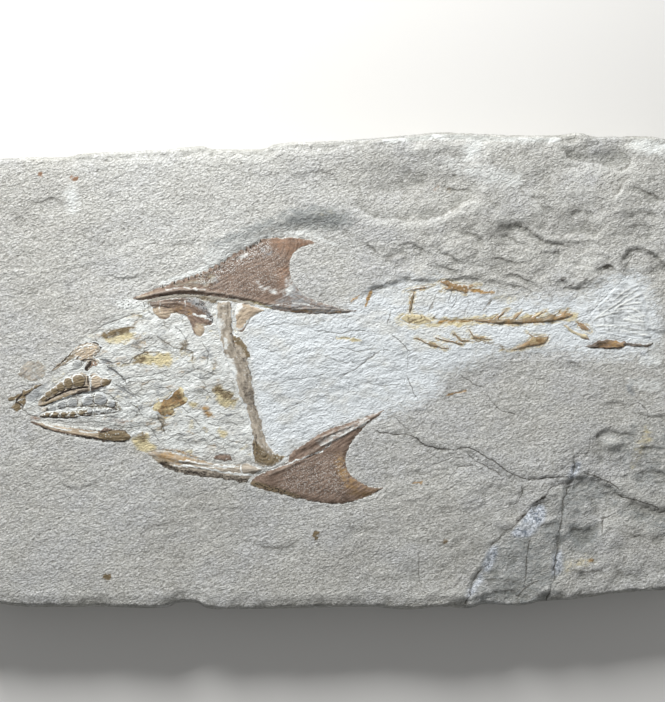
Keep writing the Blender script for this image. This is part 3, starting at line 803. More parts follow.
# How each bone is carved and coloured, as make_bone takes it: rise of its crown over the width of its
# shoulder; fibre (line, wavelength, height, stretch); rods (height, half width, line); domes (x, y,
# radius, height); scales (x, y, radius, height, colour); mottle (mask, strength, wavelength,
# threshold); patches and lines as in STAINS and SLIVERS.
BONES = {
    "upper_fin": dict(
        finish="bone_brown", rise=0.39, shoulder=2.2, fibre=(UPPER_FIN_EDGE, 0.7, 0.07, 5), lapped=0.2,
        rods=[((0.5, 0.1), 1.1, UPPER_FIN_ROD), (0.12, 1.0, UPPER_FIN_EDGE),
              (-0.3, 0.8, [(-63.0, 27.0), (-57.8, 27.3), (-52.8, 27.3), (-47.6, 26.8), (-44.2, 25.8)]),
              (0.3, 0.5, [(-15.4, 22.2), (-5, 22.6), (5, 21.6)]),
              (0.25, 0.5, [(-14, 29), (-8, 25), (0, 22.8)]),
              (0.2, 0.4, [(-17, 29), (-11, 25.4), (-4, 22.9)])],
        patches=[
            ("chalk", 0.35, 1.2, [(-28.4, 32.4), (-27.2, 32.2), (-25.8, 30.4), (-22.2, 29.6),
                                  (-17.8, 29.4), (-18.0, 33.0), (-15.6, 35.4), (-15.2, 31.4),
                                  (-16.2, 27.4), (-21.2, 27.6), (-25.8, 29.4), (-27.4, 30.4)]),
            ("rust", 0.35, 2.5, [(-26, 48), (-16.6, 48.8), (-10.8, 48.4), (-5.8, 46.6), (0, 44.5),
                                (-11.4, 43.4), (-15.4, 39.8), (-22.0, 44.0)]),
            ("rust", 0.3, 2.0, [(-22.2, 35.6), (-16.2, 38.4), (-16.8, 30.8), (-20.6, 31.2)]),
            ("grey", 0.3, 1.6, [(-27.4, 44.0), (-25.2, 45.4), (-22.8, 44.0), (-23.4, 41.0),
                                (-26.4, 41.6)]),
            ("chalk", 0.3, 0.7, [(-36.0, 40.2), (-33.8, 42.2), (-31.4, 43.0), (-31.4, 41.4),
                                 (-34.4, 40.2)]),
            ("yellow", 0.15, 1.2, [(-73.0, 25.8), (-68.2, 27.8), (-60.2, 31.0), (-51.0, 33.4),
                                   (-45.2, 35.4), (-43.0, 33.6), (-45.2, 30.2), (-54.4, 30.2),
                                   (-60.8, 29.6), (-68.2, 26.4)]),
            ("grey", 0.2, 1.2, [(-60, 30.6), (-50, 32.6), (-42, 34.4), (-43, 31), (-52, 30.4)]),
            ("specks", 0.9, 1.0, [(-50, 33.5), (-44, 36), (-38, 40), (-31, 44), (-24, 47),
                                  (-24, 43), (-31, 39), (-38, 35), (-46, 31)]),
            ("specks", 0.35, 3.0, [(-46, 30), (-30, 40), (-20, 44), (-18, 34), (-30, 27)]),
            ("grey", 0.4, 1.5, [(-15, 35), (-11, 28), (-3, 24), (9, 21.6), (-3, 20.5), (-17, 21.5),
                                (-24, 23), (-18, 28)]),
        ],
        lines=[
            ("chalk", 0.3, 0.28, [(-60.8, 29.6), (-55.6, 29.8), (-51.0, 29.6), (-46.4, 29.4)]),
            ("dark", 0.3, 0.4, [(-63.0, 27.0), (-57.8, 27.3), (-52.8, 27.3), (-47.6, 26.8),
                                 (-44.2, 25.8)]),
            ("dark", 0.3, 0.3, [(-44, 27.4), (-36.0, 26.4), (-28.6, 24.6), (-22.8, 22.6)]),
            ("dark", 0.4, 0.35, [(-17.2, 21.1), (-11.4, 20.8), (-5.6, 20.6), (1.8, 20.8),
                                  (5.2, 21.3)]),
            ("dark", 0.45, 0.3, [(-17.2, 22.4), (-8.6, 23.4), (-1.6, 22.8), (4.2, 22.1),
                                 (9.2, 21.6)]),
            ("amber", 0.9, 0.28, [(-15.4, 21.6), (-8.6, 21.8), (-1.6, 21.3), (1.8, 21.1)]),
            ("yellow", 0.9, 0.35, [(-32.0, 25.0), (-28.0, 24.2), (-23.2, 22.6)]),
            ("dark", 0.25, 0.5, [(-62, 30), (-54, 32.3), (-45.2, 35.4), (-36, 40.6), (-29, 45.2)]),
            ("chalk", 0.5, 0.25, [(-30, 23.6), (-24, 23.4), (-16, 24.4), (-8, 23.9)]),
        ]),
    "lower_fin": dict(
        finish="bone_brown", rise=0.39, shoulder=2.2, fibre=(LOWER_FIN_ROD, 0.8, 0.06, 5),
        rods=[((0.35, 0.15), 1.2, LOWER_FIN_ROD), (0.3, 0.4, [(-7.4, -24.6), (-0.2, -22.0), (8.2, -18.4)]),
              (0.3, 0.4, [(-4.8, -26.8), (3.6, -22.6), (12.6, -17.6)]),
              (-0.35, 1.2, [(-13.4, -29.6), (-8.8, -27.6), (-2, -24.4)]),
              (-0.3, 0.3, FIN_CRACK)],
        patches=[
            ("specks", 0.4, 2.0, [(-13.2, -33.0), (2.4, -31.6), (3.0, -44), (-9.8, -44),
                                   (-19.6, -41.2)]),
            ("dark", 0.28, 3.0, [(5.6, -42.6), (12.6, -42.0), (17.8, -41.6), (12.6, -45.2),
                                 (4.2, -47.8), (1.0, -46.4)]),
            ("amber", 0.3, 2.5, [(3, -30), (6, -38), (12, -42), (17, -42), (8, -46), (2, -40),
                                 (0, -32)]),
            ("dark", 0.2, 0.8, [(-14.0, -29.0), (-9.2, -26.6), (-0.8, -23.0), (-0.8, -25.0),
                                 (-8.0, -29.0), (-14.4, -30.4)]),
            ("chalk", 0.35, 1.5, [(-6, -25), (4, -20), (15, -15), (6, -21), (-2, -26)]),
        ],
        lines=[
            ("chalk", 0.8, 0.25, WHITE_CRACK), ("chalk", 0.7, 0.2, FIN_CRACK),
            ("chalk", 0.6, 0.25, [(-4.8, -26.8), (3.6, -22.6), (12.6, -17.6)]),
            ("dark", 0.4, 0.28, [(-7.4, -25.2), (-0.2, -22.6), (8.2, -19.0)]),
            ("dark", 0.35, 0.28, [(-3, -27), (5, -22.8), (12, -18.8)]),
            ("dark", 0.4, 0.7, [(-13.2, -46.2), (-6.6, -47.4), (3.0, -47.8), (12.6, -45.4),
                                (17.4, -42.0)]),
            ("pits", 1.0, 1.3, DENTICLES), ("brown", 0.5, 1.2, DENTICLES),
        ]),
    "lower_arm": dict(
        finish="bone_grey", rise=0.3, shoulder=1.8, fibre=(LOWER_ARM_ROD, 0.6, 0.10, 7),
        rods=[(0.25, 1.3, LOWER_ARM_ROD), (0.15, 0.5, ARM_RIDGE), (0.15, 0.45, ARM_SEAM),
              (-0.3, 0.5, [(-56, -33), (-46, -34.2), (-36, -35.4)])],
        domes=[(-30.8, -35.4, 2.2, 0.4), (-27.5, -35.4, 2.0, 0.35)],
        patches=[
            ("amber", 0.35, 1.0, [(-65.8, -29.4), (-58.8, -29.0), (-51.6, -30.4), (-44.0, -33.0),
                                  (-51.6, -33.2), (-58.2, -33.0), (-63.2, -31.6)]),
            ("brown", 0.45, 0.8, [(-66, -31), (-62, -31.4), (-59, -33.6), (-61, -35), (-64, -33)]),
        ],
        lines=[
            ("chalk", 0.9, 0.28, ARM_RIDGE), ("chalk", 0.8, 0.25, ARM_SEAM),
            ("chalk", 0.6, 0.2, [(-49.8, -34.8), (-41.4, -34.4), (-35.0, -34.4)]),
            ("chalk", 0.8, 0.3, [(-33, -37.4), (-27.2, -37.2), (-22.8, -34.8)]),
            ("chalk", 0.7, 0.28, [(-34, -33.8), (-33.6, -36), (-33, -37.4)]),
            ("pits", 1.0, 1.6, DENTICLES), ("dark", 0.4, 1.6, DENTICLES),
            ("dark", 0.5, 0.4, [(-62, -34.6), (-56.2, -37), (-46.6, -38.9), (-36, -40)]),
        ]),
    "girdle": dict(
        finish="bone_grey", rise=0.33, shoulder=1.4, fibre=(GIRDLE_ROD, 0.8, 0.20, 5),
        mottle=("chalk", 0.25, 0.7, 0.2), rods=[((0.3, 0.2), 1.3, GIRDLE_ROD)], lapped=0.8,
        patches=[
            ("chalk", 0.4, 0.6, [(-42.2, 18.6), (-39.6, 18.2), (-40.0, 14.8), (-42.2, 14.8)]),
            ("chalk", 0.6, 0.4, [(-40.2, 11.8), (-38.8, 11.8), (-38.6, 8.4), (-39.8, 8.4)]),
            ("chalk", 0.6, 1.0, [(-40.0, 4.8), (-37.0, 4.2), (-35.2, -1.4), (-38.0, -5.8),
                                  (-40.6, -3.2)]),
            ("brown", 0.8, 0.5, [(-36.6, 12.4), (-33.6, 12.2), (-31.0, 7.8), (-30.0, 5.2),
                                 (-31.8, 4.8), (-33.2, 8.2), (-35.2, 9.6)]),
            ("amber", 0.5, 0.8, [(-36.6, 12.4), (-34, 12.2), (-33.4, 9.6), (-35.6, 9.4)]),
            ("brown", 0.75, 1.0, [(-29.6, -25.6), (-26.6, -27.2), (-24.0, -30.2), (-17.8, -30.6),
                                  (-21.4, -33.2), (-24.4, -34.2), (-29.2, -32.0)]),
            ("dark", 0.35, 1.2, [(-34, -5), (-30, -5), (-28.6, -12), (-31, -13)]),
        ],
        lines=[
            ("dark", 0.4, 0.25, [(-38.0, 25.6), (-37.2, 20.4), (-37.2, 13.4), (-35.2, 6.4),
                                 (-31.8, 3.0), (-29.9, -1.4), (-29.4, -8.0), (-29.2, -11.8),
                                 (-26.6, -17)]),
            ("dark", 0.4, 0.3, [(-42.8, 24.4), (-42.4, 14.8), (-41.2, 8.2), (-39.0, 4.8)]),
            ("dark", 0.4, 0.3, [(-29.8, -22), (-29.6, -27), (-29.4, -31)]),
            ("dark", 0.35, 0.3, [(-28.6, -23), (-28.2, -27), (-28.4, -31)]),
        ]),
    "upper_cheek": dict(
        finish="bone_brown", rise=0.28, shoulder=1.5, lapped=0.25,
        fibre=([(-67, 23.6), (-56, 24.6), (-46, 19)], 0.8, 0.14, 5),
        mottle=("chalk", 0.26, 0.85, 0.35), rods=[(0.3, 0.8, [(-66, 24), (-58, 24.6), (-51, 23.4)])],
        patches=[
            ("grey", 0.5, 0.8, [(-54, 26.8), (-46, 26.2), (-43, 19), (-45, 17.4), (-47.6, 21.6),
                                 (-53, 24.8)]),
            ("pits", 0.9, 1.0, [(-54, 26.8), (-46, 26.2), (-43, 19), (-45, 17.4), (-47.6, 21.6),
                                (-53, 24.8)]),
            ("tan", 0.6, 1.2, [(-66, 22.6), (-64, 19), (-59, 20.2), (-58, 21.6), (-60, 22.8)]),
            ("tan", 0.8, 0.9, [(-50.4, 16.6), (-50, 12.2), (-47, 12.6), (-46.6, 16.6)]),
            ("amber", 0.3, 1.5, [(-60, 23), (-53, 22.4), (-50.6, 18), (-54, 20.4), (-60, 21)]),
        ],
        lines=[
            ("chalk", 0.5, 0.2, [(-53.8, 25.2), (-53.8, 20.8)]),
            ("chalk", 0.4, 0.2, [(-63, 25.2), (-63, 21)]),
            ("dark", 0.4, 0.5, [(-66.6, 24.4), (-60, 25.2), (-54, 25.6)]),
            ("dark", 0.35, 0.3, [(-66.4, 22.8), (-61, 23.4), (-56, 22.8)]),
            ("chalk", 0.6, 0.3, [(-51, 20.6), (-47.4, 19.8), (-44.4, 18.2)]),
        ]),
    "rear_cheek": dict(
        finish="bone_brown", rise=0.28, shoulder=1.2,
        fibre=([(-36, 16), (-31, 20), (-25, 22.4)], 0.8, 0.10, 4),
        mottle=("chalk", 0.22, 0.91, 0.3),
        patches=[
            ("tan", 0.6, 1.5, [(-36, 24.6), (-28, 24), (-25, 22), (-31, 17), (-36, 14)]),
            ("chalk", 0.5, 0.7, [(-37, 25), (-33.6, 24.6), (-33.4, 22), (-37, 19.8)]),
        ],
        lines=[("chalk", 0.6, 0.3, [(-36.2, 14.6), (-33.2, 15.4), (-31.8, 17.4), (-28, 20.4)]),
               ("yellow", 0.8, 0.3, [(-32.0, 24.6), (-28.0, 23.8), (-24.6, 22.4)])]),
    "small_plate": dict(
        finish="bone_brown", rise=0.22, shoulder=0.9, fibre=([(-44, -30.8), (-36, -31.4)], 0.6, 0.1, 4),
        mottle=("chalk", 0.26, 0.59, 0.3),
        lines=[("dark", 0.55, 0.45, [(-44, -30.3), (-42.4, -29.9), (-37.8, -30.2)])]),
    "lower_jaw": dict(
        finish="bone_brown", rise=0.3, shoulder=1.6, step=0.22, loose=0.5, lapped=0.5,
        fibre=(JAW_LINE, 0.6, 0.12, 6), mottle=("chalk", 0.3, 0.6, 0.3),
        patches=[
            ("matrix", 1.0, 0.7, [(-112, -16.8), (-98.8, -17.6), (-91.8, -18.6), (-84.6, -19.4),
                                  (-84.8, -21.6), (-92, -20.8), (-100, -19.8), (-105, -18.9)]),
            ("tan", 0.8, 0.5, [(-107, -18.4), (-100, -19.6), (-94, -20.6), (-88, -21.6), (-85, -22),
                               (-85, -24.2), (-92, -23), (-99, -21.6), (-104, -20.4)]),
            ("rust", 0.4, 0.8, [(-97, -20.6), (-90, -21.4), (-88, -23.6), (-95, -22.6)]),
            ("brown", 0.85, 0.6, [(-84.8, -22.4), (-81, -21.4), (-76, -21.5), (-73.6, -22.8),
                                  (-73.2, -24.6), (-78, -25.4), (-84.4, -25)]),
            ("tan", 0.6, 0.5, [(-80, -22.6), (-76, -22.6), (-74.6, -23.4), (-78, -24.2), (-81, -24)]),
        ],
        lines=[("dark", 0.85, 0.4, [(-106, -20.2), (-103, -21.4), (-99, -22.6), (-94, -23.4),
                                    (-88, -24.1), (-83, -25), (-78, -25.5), (-73, -25.2)]),
               ("dark", 0.6, 0.25, [(-84.4, -22), (-81, -21.2), (-77, -21.2), (-74, -22.4)]),
               ("chalk", 0.8, 0.22, [(-92, -21.6), (-88, -22.2), (-85.4, -22.2)]),
               ("chalk", 0.7, 0.2, [(-104, -19.6), (-99, -20.8), (-95, -21.2)]),
               ("dark", 0.5, 0.2, [(-101.6, -17.8), (-101.4, -19.2), (-99.4, -19.6)])]),
    "upper_jaw": dict(
        finish="bone_grey", rise=0.12, shoulder=1.4, step=0.2, loose=0.4, worn=0.1,
        fibre=(TOOTH_LINE, 0.5, 0.10, 5), mottle=("tan", 0.5, 0.8, 0.0),
        rods=[(0.3, 1.0, [(-105, -12), (-98.8, -10), (-93.2, -8), (-87, -7), (-82, -6)]),
              (-0.35, 0.4, [(-104, -10.8), (-100, -8.8), (-96, -7), (-92, -6.2), (-89, -6)])],
        scales=[(-105, -9.9, 1.1, 0.16, "brown"), (-103.2, -8.1, 1.3, 0.18, "brown"),
                (-101, -6.9, 1.5, 0.2, "brown"), (-98.7, -5.5, 1.7, 0.22, "brown"),
                (-95.9, -4.1, 2.0, 0.24, "brown"), (-92.4, -3.2, 2.4, 0.26, "brown"),
                (-85.8, -3.6, 2.2, 0.16, "tan"), (-82.6, -4, 1.6, 0.12, "brown")],
        patches=[
            ("brown", 0.85, 0.6, [(-107, -12.8), (-102, -10.8), (-98, -9), (-94, -8), (-88.4, -6.6),
                                  (-81, -5), (-80.4, -3.6), (-84, -6.8), (-91, -8.4), (-100, -11)]),
            ("dark", 0.7, 0.5, [(-95, -8.8), (-92, -7), (-88.6, -6.6), (-88.6, -8), (-93, -9)]),
            ("dark", 0.8, 0.5, [(-88, -6), (-84, -5.4), (-80.6, -3.4), (-81.6, -5.6), (-85, -7),
                                (-88, -7.4)]),
            ("tan", 0.7, 0.5, [(-87, -1), (-84, -1.8), (-82, -3), (-84.6, -3.6), (-87, -3)]),
        ],
        lines=[("dark", 0.9, 0.4, [(-109, -13.3), (-104, -12.5), (-100, -11.1), (-95.5, -9.6),
                                   (-91, -8.6), (-88, -7.5), (-84, -7), (-81, -5.8)]),
               ("dark", 0.8, 0.3, [(-104, -10.8), (-100, -8.8), (-96, -7), (-92, -6.2), (-89, -6)]),
               ("chalk", 0.95, 0.25, [(-88.2, -1.8), (-88, -4.4), (-87.9, -7)]),
               ("dark", 0.8, 0.22, [(-89, -1.8), (-88.8, -5)])]),
    "lower_teeth": dict(
        finish="tooth", rise=0.1, shoulder=1.0, step=0.2, loose=0.4, worn=0.1, lapped=0.5,
        fibre=([(-107, -16), (-92, -15), (-77, -13)], 0.5, 0.12, 4),
        mottle=("chalk", 0.6, 0.7, -0.1),
        rods=[(0.2, 0.6, [(-104.6, -15.8), (-98.8, -15.6), (-91.0, -15.2), (-85.4, -14.2),
                          (-79, -13.6)])],
        scales=[(-89.2, -10.3, 2.2, 0.2, "grey"), (-84.4, -9.8, 2.4, 0.22, "grey"),
                (-80.4, -11.6, 1.4, 0.25, "grey"),
                (-103.6, -15.6, 0.9, 0.15, "brown"), (-100.8, -15.4, 1.0, 0.15, "brown"),
                (-97.8, -15.6, 1.0, 0.15, "brown"), (-94.6, -15.4, 1.1, 0.15, "brown"),
                (-91.4, -14.9, 1.1, 0.15, "brown"), (-88.2, -14.2, 1.0, 0.12, "grey")],
        patches=[("brown", 0.6, 0.5, [(-106, -15.2), (-99.5, -14.8), (-94, -15), (-89, -14),
                                      (-89, -15.6), (-95, -16.8), (-105, -16.6)]),
                 ("grey", 0.6, 0.5, [(-89, -13.6), (-82, -13.6), (-78, -14.4), (-82, -15),
                                     (-88, -15)])],
        lines=[("dark", 0.9, 0.35, [(-106, -16.6), (-100, -16.8), (-94, -16.8), (-88, -16)]),
               ("dark", 0.6, 0.25, [(-92, -12.6), (-87, -12.6), (-83, -12.6), (-79, -13.4)]),
               ("dark", 0.6, 0.25, [(-88, -15.6), (-82, -15.2), (-78, -14.6)]),
               ("chalk", 0.7, 0.2, [(-105, -14.9), (-96, -14.4), (-88, -13.2)])]),
    "snout": dict(
        finish="bone_amber", rise=0.12, shoulder=0.8, step=0.2, loose=0.4, lapped=0.35,
        fibre=([(-117, -12), (-104, -5)], 0.5, 0.14, 3), mottle=("chalk", 0.35, 1.6, 0.2),
        patches=[
            ("brown", 0.75, 0.5, [(-119, -8), (-112, -4), (-102, -2), (-104, -7), (-111, -14),
                                  (-118, -15)]),
            ("grey", 0.6, 0.5, [(-111.2, -8.8), (-107.4, -6.0), (-103.4, -4.0), (-103.4, -5.0),
                                (-106.6, -8), (-110.8, -12.0)]),
            ("rust", 0.6, 0.4, [(-118, -9.0), (-114.8, -8.6), (-114.8, -10.4), (-117.4, -10.8)]),
            ("tan", 0.6, 0.5, [(-116.4, -11.0), (-112.0, -10.4), (-112.0, -12.6),
                                (-114.8, -13.4)]),
        ],
        lines=[("dark", 0.85, 0.3, [(-111.8, -9), (-108, -6.6), (-105, -4.6), (-103.4, -3.8)]),
               ("dark", 0.8, 0.35, [(-112.8, -6.4), (-112.8, -8.4), (-114.6, -10.4)]),
               ("dark", 0.6, 0.25, [(-118, -10.8), (-114.6, -11.2), (-112, -13)])]),
    "snout_plate": dict(
        finish="bone_grey", rise=0.06, shoulder=2.4, edge=1.0, lapped=0.9, worn=0.0, smooth=0.2,
        fibre=([(-113, -3), (-105, 3)], 0.6, 0.10, 5),
        patches=[("grey", 0.3, 2.0, [(-114, 0), (-108, 4), (-103, 1), (-108, -4)]),
                 ("matrix", 0.2, 1.0, [(-117, -5), (-117, 6), (-102, 6), (-102, -5)]),
                 ("yellow", 0.15, 2.0, [(-112, 3), (-105, 3), (-104, -1), (-110, -2)])],
        lines=[("dark", 0.55, 0.3, [(-114.6, -1.2), (-113.4, -3.2), (-112, -4.2), (-109, -4)]),
               ("dark", 0.35, 0.25, [(-105.4, -3.2), (-103.8, -0.4)]),
               ("tan", 0.4, 0.25, [(-114, 0.4), (-111.6, 3), (-107.4, 3.8), (-104.4, 2.4)])]),
    "brow": dict(
        finish="bone_grey", rise=0.15, shoulder=1.2, step=0.2, loose=0.4, lapped=0.35, worn=0.1,
        fibre=([(-103, -0.6), (-94, 5), (-84, 9)], 0.5, 0.14, 4),
        mottle=("chalk", 0.5, 0.65, 0.1),
        patches=[("tan", 0.9, 0.5, [(-93.5, 6), (-90, 9.2), (-87, 9.6), (-85.5, 8.4), (-87.5, 6),
                                    (-91, 3.8)]),
                 ("rust", 0.25, 0.8, [(-93, 6), (-89, 9), (-87, 7.4), (-91, 4.2)]),
                 ("brown", 0.4, 0.6, [(-103, -0.6), (-99, 3.6), (-95, 6.4), (-94, 4.8), (-98, 1.6)]),
                 ("rust", 0.4, 0.5, [(-88, 3.6), (-85.6, 3.4), (-86, 0.2), (-88.4, 0.6)])],
        lines=[("dark", 0.8, 0.45, [(-94.2, 8.4), (-91.6, 10), (-88, 10.8), (-85.4, 10),
                                    (-84.2, 8.4)]),
               ("dark", 0.6, 0.25, [(-103, -0.2), (-99.6, 2), (-96.4, 5), (-94, 7.6)]),
               ("dark", 0.95, 0.5, [(-88, 3.2), (-89.3, 1), (-89.5, -0.8)]),
               ("dark", 0.5, 0.2, [(-92.8, 4.6), (-91, 6.4), (-89, 7.6)]),
               ("chalk", 0.7, 0.2, [(-92, 7.6), (-89.6, 9.2), (-87.4, 9.2)]),
               ("chalk", 0.6, 0.2, [(-101, 0), (-96, 3), (-92.6, 5.4)]),
               ("dark", 0.6, 0.25, [(-91.4, 3.6), (-88.6, 4.4), (-86, 3.6)])]),
    "gill_plate": dict(
        finish="bone_amber", rise=0.02, shoulder=1.8, edge=1.4, lapped=0.9, worn=0.0, smooth=0.0,
        fibre=([(-66, -14), (-53, -7)], 0.9, 0.05, 4), mottle=("brown", 0.5, 1.2, 0.0),
        patches=[("yellow", 0.7, 0.9, [(-67, -13), (-64, -10.6), (-62.6, -12), (-65, -15.4)]),
                 ("yellow", 0.6, 0.9, [(-56.4, -5.4), (-53, -6), (-52, -10.4), (-54, -11)]),
                 ("yellow", 0.5, 1.2, [(-62, -15.4), (-58, -14.6), (-56, -12), (-60, -12.6)])],
        lines=[("brown", 0.5, 0.3, [(-64, -11), (-60, -8.6), (-56.4, -5.8)])]),
    "front_back_plate": dict(
        finish="bone_amber", rise=0.17, shoulder=0.5, edge=0.3, mottle=("chalk", 0.2, 0.78, 0.2)),
    "rear_back_plate": dict(
        finish="bone_amber", rise=0.22, shoulder=0.8, edge=0.35, mottle=("chalk", 0.25, 0.72, 0.1),
        lines=[("brown", 0.6, 0.3, [(38.4, 29), (44.2, 29.2), (47, 28)])]),
    "vertebrae": dict(
        finish="bone_grey", rise=0.1, shoulder=1.0, mottle=("brown", 0.5, 0.9, 0.1), lapped=0.3,
        smooth=0.2,
        lines=[("brown", 0.8, 0.25, [(23, 18.4), (26, 17), (29, 18.6)]),
               ("brown", 0.6, 0.25, [(28, 16.6), (32, 18.4), (35, 17.4)])],
        patches=[("yellow", 0.5, 1.0, [(21, 18), (25, 22), (35, 21), (37, 17), (30, 15)])]),
    "backbone": dict(
        finish="bone_amber", rise=0.3, shoulder=0.8, edge=0.3, step=0.25, lapped=0.2, worn=0.1,
        mottle=("brown", 0.6, 1.6, 0.1),
        domes=[(54.4, 17.9, 1.3, 0.3), (59.4, 17.8, 1.9, 0.45), (65.8, 17.8, 2.0, 0.45),
               (76.8, 18.1, 2.0, 0.45), (81, 19.2, 1.4, 0.3)],
        patches=[("brown", 0.7, 0.5, [(56.8, 18.6), (62, 18.8), (61, 16.6), (58, 16.6)]),
                 ("brown", 0.7, 0.5, [(63, 18.6), (68, 18.8), (67, 16.6), (64.4, 16.6)]),
                 ("brown", 0.6, 0.5, [(74, 18.8), (79, 19.2), (78, 17), (75, 17)]),
                 ("amber", 0.7, 0.8, [(57, 18), (62, 18.2), (61, 16.4), (58, 16.4)]),
                 ("amber", 0.7, 0.8, [(63.4, 18), (68, 18.2), (67, 16.4), (64.4, 16.4)])],
        lines=[("brown", 0.5, 0.4, [(50, 18.6), (60, 18.8), (66, 18.8), (74, 19), (80, 19.8)]),
               ("yellow", 0.5, 0.4, [(58.4, 20.4), (61.8, 22.6)]),
               ("yellow", 0.4, 0.4, [(71, 20), (76, 22.2)])]),
    "neck_strut": dict(SLIM, rise=0.19, mottle=("brown", 0.8, 1.0, -0.6)),
    "front_rib": RIB, "middle_rib": RIB, "rear_rib": RIB, "last_rib": RIB,
    "belly_spine": dict(
        finish="bone_amber", rise=0.22, shoulder=0.7, edge=0.35, mottle=("chalk", 0.15, 0.78, 0.3),
        lapped=0.2,
        patches=[("yellow", 0.15, 0.8, [(68, 13.6), (77, 13), (76, 10), (69, 9.6)])],
        lines=[("brown", 0.8, 0.35, [(68.4, 14.4), (69.4, 13), (73, 12.4), (76.6, 12.2)]),
               ("brown", 0.7, 0.35, [(59.4, 7.8), (64, 8), (70, 9)])]),
    "tail_spine": dict(
        finish="bone_brown", rise=0.33, shoulder=0.9, edge=0.35,
        fibre=([(88.4, 9.2), (100, 9.8), (115.6, 10.4)], 0.5, 0.2, 8),
        patches=[("amber", 0.45, 0.8, [(95, 11), (104, 10.6), (104, 8.4), (95, 8.6)]),
                 ("dark", 0.45, 0.8, [(88, 9.4), (95, 11.4), (99, 11), (96, 9), (90, 8.4)])],
        lines=[("dark", 0.9, 0.4, [(104, 9.6), (109.8, 9.3), (115.6, 10.2)]),
               ("dark", 0.7, 0.3, [(91, 8.5), (97, 8), (103, 8.2)])]),
    "tail_base": dict(
        finish="bone_brown", rise=0.28, shoulder=0.8, edge=0.3, lapped=0.25,
        mottle=("chalk", 0.2, 0.59, 0.3),
        patches=[("yellow", 0.5, 1.0, [(80, 18), (87, 15), (92, 12), (88, 11.8), (82, 15.4)])]),
    "tail_fan_root": dict(
        finish="bone_amber", rise=0.22, shoulder=0.7, edge=0.3, lapped=0.25,
        mottle=("chalk", 0.2, 0.59, 0.3)),
    "tail_fin": dict(
        finish="bone_pale", rise=0.06, shoulder=1.5, edge=2.2, smooth=0.3,
        fibre=([(91.5, 17.4), (98, 18.4), (104, 19), (114, 19)], 0.7, 0.1, 6), lapped=2.6, worn=0.0,
        mottle=("grey", 0.4, 1.4, 0.1), rods=[(0.2, 0.38, ray) for ray in TAIL_RAYS],
        lines=[("chalk", 0.9, 0.22, ray) for ray in TAIL_RAYS]),
}


def outlines_of(node):
    """The outlines of a bone in plan, read from the flat foot of its solid and smoothed."""
    bm = bmesh.new()
    bm.from_mesh(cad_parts[node].data)
    bmesh.ops.remove_doubles(bm, verts=bm.verts[:], dist=1e-6)
    floor = min(vert.co.z for vert in bm.verts) + 1e-5
    feet = {face for face in bm.faces if all(vert.co.z < floor for vert in face.verts)}
    steps = {}
    for edge in bm.edges:
        owners = [face for face in edge.link_faces if face in feet]
        if len(owners) == 1:
            a, b = (tuple(vert.co[:2]) for vert in edge.verts)
            steps.setdefault(a, []).append(b)
            steps.setdefault(b, []).append(a)
    bm.free()
    outlines = []
    while steps:
        here = next(iter(steps))
        ring = []
        while steps.get(here):
            ring.append(here)
            there = steps[here].pop()
            steps[there].remove(here)
            here = there
        steps = {place: links for place, links in steps.items() if links}
        outlines.append(smoothed_outline(np.array(ring) / MM))
    return outlines


def smoothed_outline(ring, sharp_turn=52.0, step=0.6):
    """A finer outline through a ring of places, which stays sharp where the ring turns sharply."""
    before = ring - np.roll(ring, 1, axis=0)
    after = np.roll(ring, -1, axis=0) - ring
    turn = np.arctan2(before[:, 0] * after[:, 1] - before[:, 1] * after[:, 0],
                      (before * after).sum(1))
    sharp = set(np.nonzero(np.abs(np.degrees(turn)) > sharp_turn)[0])
    return smooth_path(ring, step, closed=True, sharp=sharp)


def depth_of(outlines, places):
    """How far each place lies inside any of the outlines."""
    return np.max([depth_inside(places, outline, 6.0) for outline in outlines], axis=0)


